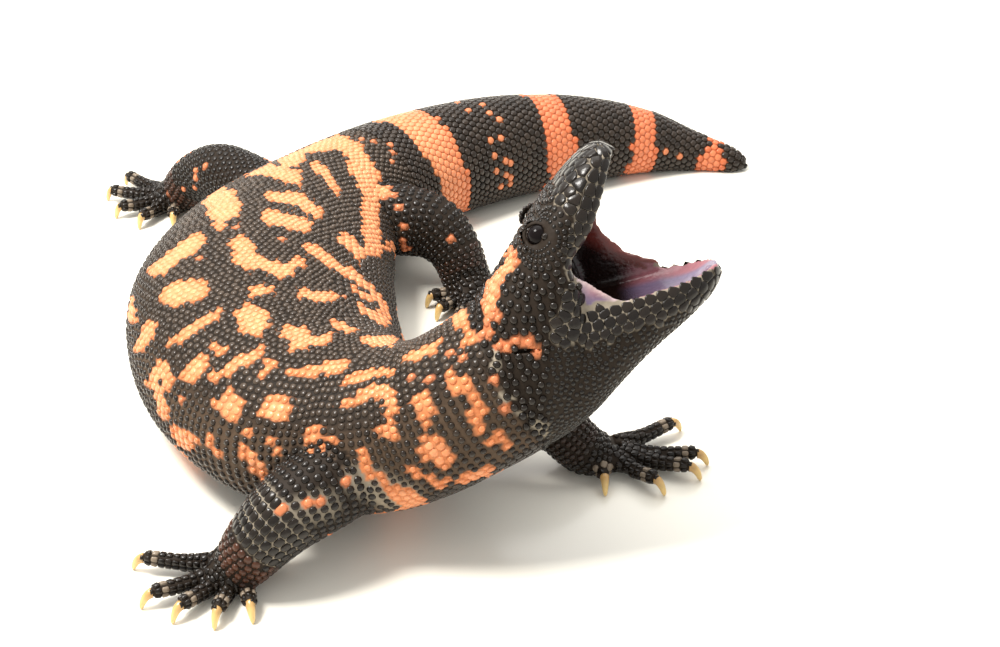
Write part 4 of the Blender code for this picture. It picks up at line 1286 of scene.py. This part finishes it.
def flat_places(skin, points):
    """Where points fall on an unwrap of the skin's shape."""
    shape = put("shape", skin.data.copy())
    thin = shape.modifiers.new("thin", "DECIMATE")
    thin.ratio = UNWRAP_RATIO
    applied(shape)
    bpy.ops.object.select_all(action="DESELECT")
    bpy.context.view_layer.objects.active = shape
    shape.select_set(True)
    shape.data.uv_layers.new(name="flat")
    bpy.ops.object.mode_set(mode="EDIT")
    bpy.ops.mesh.select_all(action="SELECT")
    bpy.ops.uv.smart_project(angle_limit=UNWRAP_ANGLE, island_margin=PATCH)
    bpy.ops.object.mode_set(mode="OBJECT")
    tree = BVHTree.FromObject(shape, bpy.context.evaluated_depsgraph_get())
    layer = shape.data.uv_layers["flat"].data
    found = np.empty((len(points), 2))
    for number, point in enumerate((points + MOVE) * MM):
        spot, _, face, _ = tree.find_nearest(point)
        polygon = shape.data.polygons[face]
        a, b, c = (shape.data.vertices[v].co for v in polygon.vertices[:3])
        flat = [layer[k].uv.to_3d() for k in polygon.loop_indices[:3]]
        found[number] = barycentric_transform(spot, a, b, c, *flat)[:2]
    bpy.data.objects.remove(shape)
    return np.clip(found, PATCH, 1.0 - PATCH)


def pixels_of(points):
    """Where points of the photo frame fall in the photograph, and the direction of sight to them."""
    away = points - CAMERA_EYE
    depth = away @ CAMERA_AHEAD
    x = IMAGE_WIDTH / 2 + FOCAL_PIXELS * away[:, 0] / depth
    y = IMAGE_HEIGHT / 2 - FOCAL_PIXELS * (away @ CAMERA_UP) / depth
    return np.stack([x, y], axis=1), unit(away)


def stroke_depth(pixels, stroke, half):
    """How deep in a stroke each pixel place lies: 1 on its line and 0 at its edge."""
    line = np.reshape(stroke, (-1, 2)).astype(float)
    if len(line) == 1:
        line = np.concatenate([line, line])
    best = np.full(len(pixels), 1e9)
    for a, b in zip(line[:-1], line[1:]):
        span = b - a
        t = np.clip(((pixels - a) @ span) / max(span @ span, 1e-9), 0.0, 1.0)
        best = np.minimum(best, np.linalg.norm(pixels - (a + t[:, None] * span), axis=1))
    return 1.0 - best / half


def banded(data):
    """Whether each scale lies in one of the tail's bands."""
    under = (1 - np.cos(data["angle"] - BAND_TOP)) / 2
    run = data["run"] + RANDOM.normal(0.0, BAND_JITTER, len(under))
    found = np.zeros(len(run), bool)
    for top_low, top_high, low, high in TAIL_BANDS:
        found |= (run > top_low + (low - top_low) * under) & (run < top_high + (high - top_high) * under)
    return found & (data["kind"] == TAIL)


def blotchy(points, limit, size=BLOTCH_SIZE):
    """An irregular pattern of blotches for the sides that the photo doesn't show."""
    total = np.zeros(len(points))
    for _ in range(BLOTCH_WAVES):
        wave = RANDOM.normal(0.0, 1.0, 3)
        wave *= 2 * math.pi / size / np.linalg.norm(wave)
        total += np.sin(points @ wave + RANDOM.uniform(0.0, 2 * math.pi))
    return total > limit


def marked(data):
    """Whether each scale is orange, and whether it is an orange dot by itself."""
    pixels, sight = pixels_of(data["point"])
    facing = -np.einsum("ij,ij->i", data["normal"], sight)
    seen = facing > SEEN_FROM
    kind = np.where(data["kind"] == TAIL, TRUNK, data["kind"])
    wobble = RANDOM.normal(0.0, STROKE_JITTER, len(pixels))
    orange = banded(data)
    for part, strokes in STROKES.items():
        for half, *stroke in strokes:
            near = np.abs(pixels - np.reshape(stroke, (-1, 2)).mean(axis=0)).max(axis=1) < STROKE_REACH
            chosen = near & seen & ((kind == part) | (part is ANY))
            orange[chosen] |= stroke_depth(pixels[chosen], stroke, half) + wobble[chosen] > 0.0
    dot = np.zeros(len(orange), bool)
    for fleck in FLECKS:
        away = np.linalg.norm(pixels - np.array(fleck), axis=1) + np.where(seen, 0.0, UNSEEN_AWAY)
        dot[away.argmin()] = True
    orange |= ~seen & (data["kind"] == TRUNK) & blotchy(data["point"], BLOTCH_LIMIT)
    orange |= ~seen & (data["kind"] == LEG) & blotchy(data["point"], LEG_BLOTCH_LIMIT)
    return orange | dot, dot


def tints(data, near):
    """Colours of the scales: orange blotches paler in the middle, and the rest near black, with a painted
    sheen, lighter and browner, towards the top of the trunk.
    """
    orange, dot = marked(data)
    inner = orange[near[:, :INNER_NEIGHBOURS]].mean(axis=1)
    share = ramp(inner, *MIDDLE_RAMP)[:, None]
    warm = mixed(ORANGE_EDGE, ORANGE_MIDDLE, share)
    tail = ramp(data["run"], *TAIL_RAMP)[:, None] * (data["kind"] == TAIL)[:, None]
    warm = mixed(warm, mixed(ORANGE_TAIL, ORANGE_TAIL_MIDDLE, share), tail)
    deep = (dot | (data["kind"] == HEAD) | (data["kind"] == LEG))[:, None]
    warm = np.where(deep & (share < 0.5), ORANGE_DEEP, warm)
    dark = np.where(np.isin(data["kind"], (FOOT, LEG, HEAD))[:, None], LIMB_BLACK, BLACK)
    dark = dark * np.where(data["space"] < FINE, FINE_SHADE, 1.0)[:, None]
    # painted sheen: black beads lighter and browner towards the top of the trunk
    high = ((data["kind"] == TRUNK) * ramp(np.sin(data["angle"]), *BACK_SHEEN_RAMP))[:, None]
    dark = mixed(dark, BACK_SHEEN, high) * RANDOM.uniform(*DARK_RANGE, (len(orange), 1))
    tint = np.where(orange[:, None], warm * RANDOM.uniform(*WARM_RANGE, (len(orange), 1)), dark)
    rust = (data["rust"] * RANDOM.uniform(*RUST_RANGE, len(orange)))[:, None]
    tint = mixed(tint, WRIST_RUST, rust)
    data["tint"] = np.where((data["pale"] > 0)[:, None], PALE_RING, tint)
    data["orange"] = orange
    flat = orange & (share[:, 0] > ORANGE_FROM)
    data["tall"] = np.where(flat, ORANGE_TALL, 1.0) * data["tall"]
    data["fill"] = np.where(flat, ORANGE_FILL, data["fill"])


def skin_tints(surface, data):
    """Skin between the scales takes after the nearest one; the mouth has its own colours."""
    tree = tree_of(data["point"])
    found = [tree.find(point)[1:] for point in surface.points]
    index = np.array([number for number, _ in found])
    close = ramp([gap for _, gap in found], SEAM_FAR, SEAM_NEAR)[:, None]
    pixels, _ = pixels_of(surface.points)
    bare = ramp(data["fill"][index], *BARE_RAMP)[:, None]
    bare[data["kind"][index] != TRUNK] = LEAST_BARE
    plated = (data["plate"] > 0) & np.isin(data["kind"], (HEAD, LEG, BOUND))
    seam = plated[index][:, None] * SEAM_SHARE * close
    for share, half, *stroke in PALE_STROKES:
        patchy = 1.0 if share < 1.0 else blotchy(surface.points, FLAKE_LIMIT, FLAKE_SIZE)[:, None]
        depth = ramp(stroke_depth(pixels, stroke, half), *PALE_RAMP)[:, None]
        seam = np.maximum(seam, depth * share * patchy)
    tint = mixed(mixed(SKIN_DARK, SKIN_BROWN, bare), SKIN_PALE, seam)
    # painted shade: skin in the crevices between orange scales darker than the scales
    tint = np.where(data["orange"][index][:, None], data["tint"][index] * SHADE, tint)
    dry = np.ones(len(tint))
    inside = surface.kinds >= LINING
    tint[inside] = mouth_tints(surface.points[inside], surface.kinds[inside])
    dry[inside] = np.where(surface.kinds[inside] == PIT, PIT_DRY, 0.0)
    return tint, dry


def mouth_tints(points, kinds):
    """Near black painted shade in the depth, lilac and pink on the floor, and pale along the edges of the
    webs; the floor and the far web fade into the painted shade towards the back.
    """
    x, z, out = head_coordinates(points)
    # painted shade: near black everywhere inside the mouth unless other colours are laid over it
    tint = np.tile(MOUTH_DEPTH_SHADE, (len(points), 1))
    floor = (kinds == LINING) & (jaw_depth(x, z) > MOUTH_FLOOR[0]) & (x > MOUTH_FLOOR[1])
    ahead = ramp(x, *MOUTH_RAMP)[:, None]
    gum = ramp(np.abs(out) / np.interp(x, *GUM_WIDTH), *GUM_RAMP)[:, None]
    lilac = mixed(MOUTH_LILAC, MOUTH_PINK, gum)
    # painted shade: the floor of the mouth darkens to near black towards the back
    tint = np.where(floor[:, None], mixed(tint, lilac, ahead), tint)
    web = kinds == MEMBRANE
    edge = np.array([(a, b) for a, b, _ in WEBS[1]])[1:7]
    near_edge = ramp(np.interp(x, edge[:, 0], edge[:, 1]) - z, *WEB_EDGE_RAMP)[:, None]
    across = ramp(x, *WEB_ACROSS_RAMP)[:, None]
    low = ramp(z, *WEB_LOW_RAMP)[:, None]
    near = mixed(mixed(MOUTH_PALE, MOUTH_PINK, across), MOUTH_LILAC, low)
    near = mixed(near, MOUTH_EDGE, EDGE_SHARE * near_edge)
    # painted shade: the far web near black towards its bottom and back, red towards its top and front
    far = mixed(MOUTH_DEPTH_SHADE, MOUTH_RED, ramp(z + WEB_FAR_SLOPE * x, *WEB_FAR_RAMP)[:, None])
    tint = np.where((web & (out > 0))[:, None], near, tint)
    return np.where((web & (out < 0))[:, None], far, tint)


def claws():
    """All claws in one mesh, amber at the root and paler towards the tip."""
    meshes = []
    shares = []
    for leg, (centre, toes) in FEET.items():
        length = CLAW_FORWARD * (HIND_CLAW if leg.startswith("hind") else 1.0)
        for degrees, reach in toes:
            direction = math.radians(degrees)
            across = np.array([math.cos(direction), math.sin(direction)])
            sideways = np.array([-across[1], across[0], 0.0])
            angle = np.arange(CLAW_SIDES) * 2 * math.pi / CLAW_SIDES
            rings = []
            for t in np.linspace(0.0, 1.0, CLAW_RINGS):
                turn = CLAW_TURN * t
                out = reach - CLAW_ROOT * (1 - t) + length * math.sin(turn) / math.sin(CLAW_TURN)
                drop = (1 - math.cos(turn)) / (1 - math.cos(CLAW_TURN))
                height = CLAW_HEIGHT - (CLAW_HEIGHT - CLAW_TIP_HEIGHT) * drop
                radius = CLAW_RADIUS * (1 - t) ** CLAW_TAPER + CLAW_TIP_RADIUS
                side = np.cos(angle)[:, None] * radius * CLAW_SLIM * sideways
                lift = np.sin(angle)[:, None] * radius
                ahead = lift * np.array([*(across * math.sin(turn)), math.cos(turn)])
                ring = np.array([*(np.array(centre) + across * out), height]) + side + ahead
                ring[:, 2] = np.maximum(ring[:, 2], FLOOR)
                rings.append(ring)
            meshes.append(mesh_of_rings("claw", np.array(rings)))
            shares.append(np.repeat(np.linspace(0.0, 1.0, CLAW_RINGS), CLAW_SIDES))
            shares.append((0.0, 1.0))
    thing = joined("claws", meshes)
    share = ramp(np.concatenate(shares), *CLAW_RAMP)[:, None]
    paint(thing.data, mixed(CLAW_ROOT_COLOUR, CLAW_TIP_COLOUR, share))
    thing.data.shade_smooth()
    return thing


def named_material(name):
    made = bpy.data.materials.new(name)
    made.use_nodes = True
    return made, made.node_tree.nodes, made.node_tree.links


def with_sockets(node, values):
    """The node, with values set on its sockets."""
    for socket, value in values.items():
        node.inputs[socket].default_value = value
    return node


def hide_material(name, wet=()):
    """A hide that shows the mesh's own tint, broken up a little, with fine relief."""
    roughness, grain, relief, shine, coat = HIDES[name]
    made, nodes, links = named_material(name)
    shader = with_sockets(nodes["Principled BSDF"], {
        "Roughness": roughness, "Specular IOR Level": shine,
        "Coat Weight": coat, "Coat Roughness": COAT_ROUGHNESS,
    })
    tint = nodes.new("ShaderNodeVertexColor")
    tint.layer_name = "tint"
    place = nodes.new("ShaderNodeTexCoord")
    speckle = with_sockets(nodes.new("ShaderNodeTexNoise"), {"Scale": grain, "Detail": GRAIN_DETAIL})
    links.new(place.outputs["Object"], speckle.inputs["Vector"])
    span = {"To Min": 1 - GRAIN_SHARE, "To Max": 1 + GRAIN_SHARE}
    spread = with_sockets(nodes.new("ShaderNodeMapRange"), span)
    links.new(speckle.outputs["Fac"], spread.inputs["Value"])
    mix = nodes.new("ShaderNodeMix")
    mix.data_type = "RGBA"
    mix.blend_type = "MULTIPLY"
    mix.inputs["Factor"].default_value = 1.0
    links.new(tint.outputs["Color"], mix.inputs["A"])
    links.new(spread.outputs["Result"], mix.inputs["B"])
    links.new(mix.outputs["Result"], shader.inputs["Base Color"])
    bump = with_sockets(nodes.new("ShaderNodeBump"), {"Strength": relief, "Distance": BUMP_DEPTH})
    links.new(speckle.outputs["Fac"], bump.inputs["Height"])
    links.new(bump.outputs["Normal"], shader.inputs["Normal"])
    for socket, wet_value, dry_value in wet:
        span = {"To Min": wet_value, "To Max": dry_value}
        dry = with_sockets(nodes.new("ShaderNodeMapRange"), span)
        links.new(tint.outputs["Alpha"], dry.inputs["Value"])
        links.new(dry.outputs["Result"], shader.inputs[socket])
    return made


def plain_material(name, colour, roughness, shine=0.5):
    made, nodes, _ = named_material(name)
    values = {"Base Color": (*colour, 1.0), "Roughness": roughness, "Specular IOR Level": shine}
    with_sockets(nodes["Principled BSDF"], values)
    return made


def add_light(name, place, size, power, colour):
    data = bpy.data.lights.new(name, "AREA")
    data.shape = "RECTANGLE"
    data.size, data.size_y = size
    data.energy = power
    data.color = colour
    light = put(name, data)
    light.location = place
    light.rotation_euler = (Vector(LIGHT_TARGET) - Vector(place)).to_track_quat("-Z", "Y").to_euler()


def make_camera():
    data = bpy.data.cameras.new("camera")
    data.sensor_width = SENSOR
    data.lens = FOCAL_PIXELS * SENSOR / IMAGE_WIDTH
    camera = put("camera", data)
    camera.location = Vector((CAMERA_EYE + MOVE) * MM)
    camera.rotation_euler = (math.pi / 2 - CAMERA_PITCH, 0.0, 0.0)
    bpy.context.scene.camera = camera


def make_stage():
    mesh = bpy.data.meshes.new("floor")
    corners = [(x * FLOOR_HALF, y * FLOOR_HALF, 0) for x, y in ((-1, -1), (1, -1), (1, 1), (-1, 1))]
    mesh.from_pydata(corners, [], [(0, 1, 2, 3)])
    floor = put("floor", mesh)
    mesh.materials.append(plain_material("floor", FLOOR_COLOUR, FLOOR_ROUGHNESS))
    world = bpy.data.worlds.new("studio")
    bpy.context.scene.world = world
    world.use_nodes = True
    with_sockets(world.node_tree.nodes["Background"], {"Color": SKY_COLOUR, "Strength": SKY_STRENGTH})
    for light in LIGHTS:
        add_light(*light)
    bpy.context.scene.view_settings.view_transform = "Standard"


def finish_piece(thing, material):
    thing.data.materials.clear()
    thing.data.materials.append(material)
    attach(thing, "root")


def add_scales(data):
    """The scales of each kind as meshes of a bounded size."""
    near = neighbours(data["point"])
    tints(data, near)
    finish = hide_material("scales")
    for plate, shape, sides, profile, roundness in (
        (0, "scales", BEAD_SIDES, BEAD_PROFILE, BEAD_ROUND),
        (1, "plates", PLATE_SIDES, PLATE_PROFILE, PLATE_ROUND),
    ):
        reach, across = cell_reach(data, near, sides)
        for kind, name, slot in PIECES:
            chosen = np.where((data["kind"] == kind) & (data["plate"] == plate))[0]
            triangles = len(chosen) * sides * (2 * len(profile) - 1)
            pieces = math.ceil(triangles / PIECE_TRIANGLES)
            for number in range(pieces):
                title = f"{name}_{shape}_{number + 1}"
                part = chosen[number::pieces]
                finish_piece(bead_mesh(title, data, reach, across, part, profile, roundness), finish)


def main():
    make_camera()
    make_stage()
    skin, marks = make_skin()
    surface = Surface(skin, marks)
    seeds = Seeds()
    trunk_seeds(seeds, surface)
    leg_seeds(seeds, surface)
    head_seeds(seeds, surface)
    data = thinned(seeds.close())
    data["uv"] = flat_places(skin, data["point"])
    add_scales(data)
    paint(skin.data, *skin_tints(surface, data))
    finish_piece(skin, hide_material("skin", WET))
    claw = claws()
    finish_piece(claw, hide_material("claw"))
    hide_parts(*[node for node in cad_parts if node.startswith("claw")])
    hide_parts(*[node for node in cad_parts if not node.startswith(("eye", "claw"))])
    eye_finish = plain_material("eye", EYE_COLOUR, EYE_ROUGHNESS, EYE_SHINE)
    for side, node in ((1, "eye_right"), (-1, "eye_left")):
        eye = put(f"{node}_ball", mesh_of_rings("eye", ball_rings((*EYE, side * EYE_OUT), (EYE_RADIUS,) * 3)))
        eye.data.shade_smooth()
        finish_piece(eye, eye_finish)
        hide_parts(node)


main()
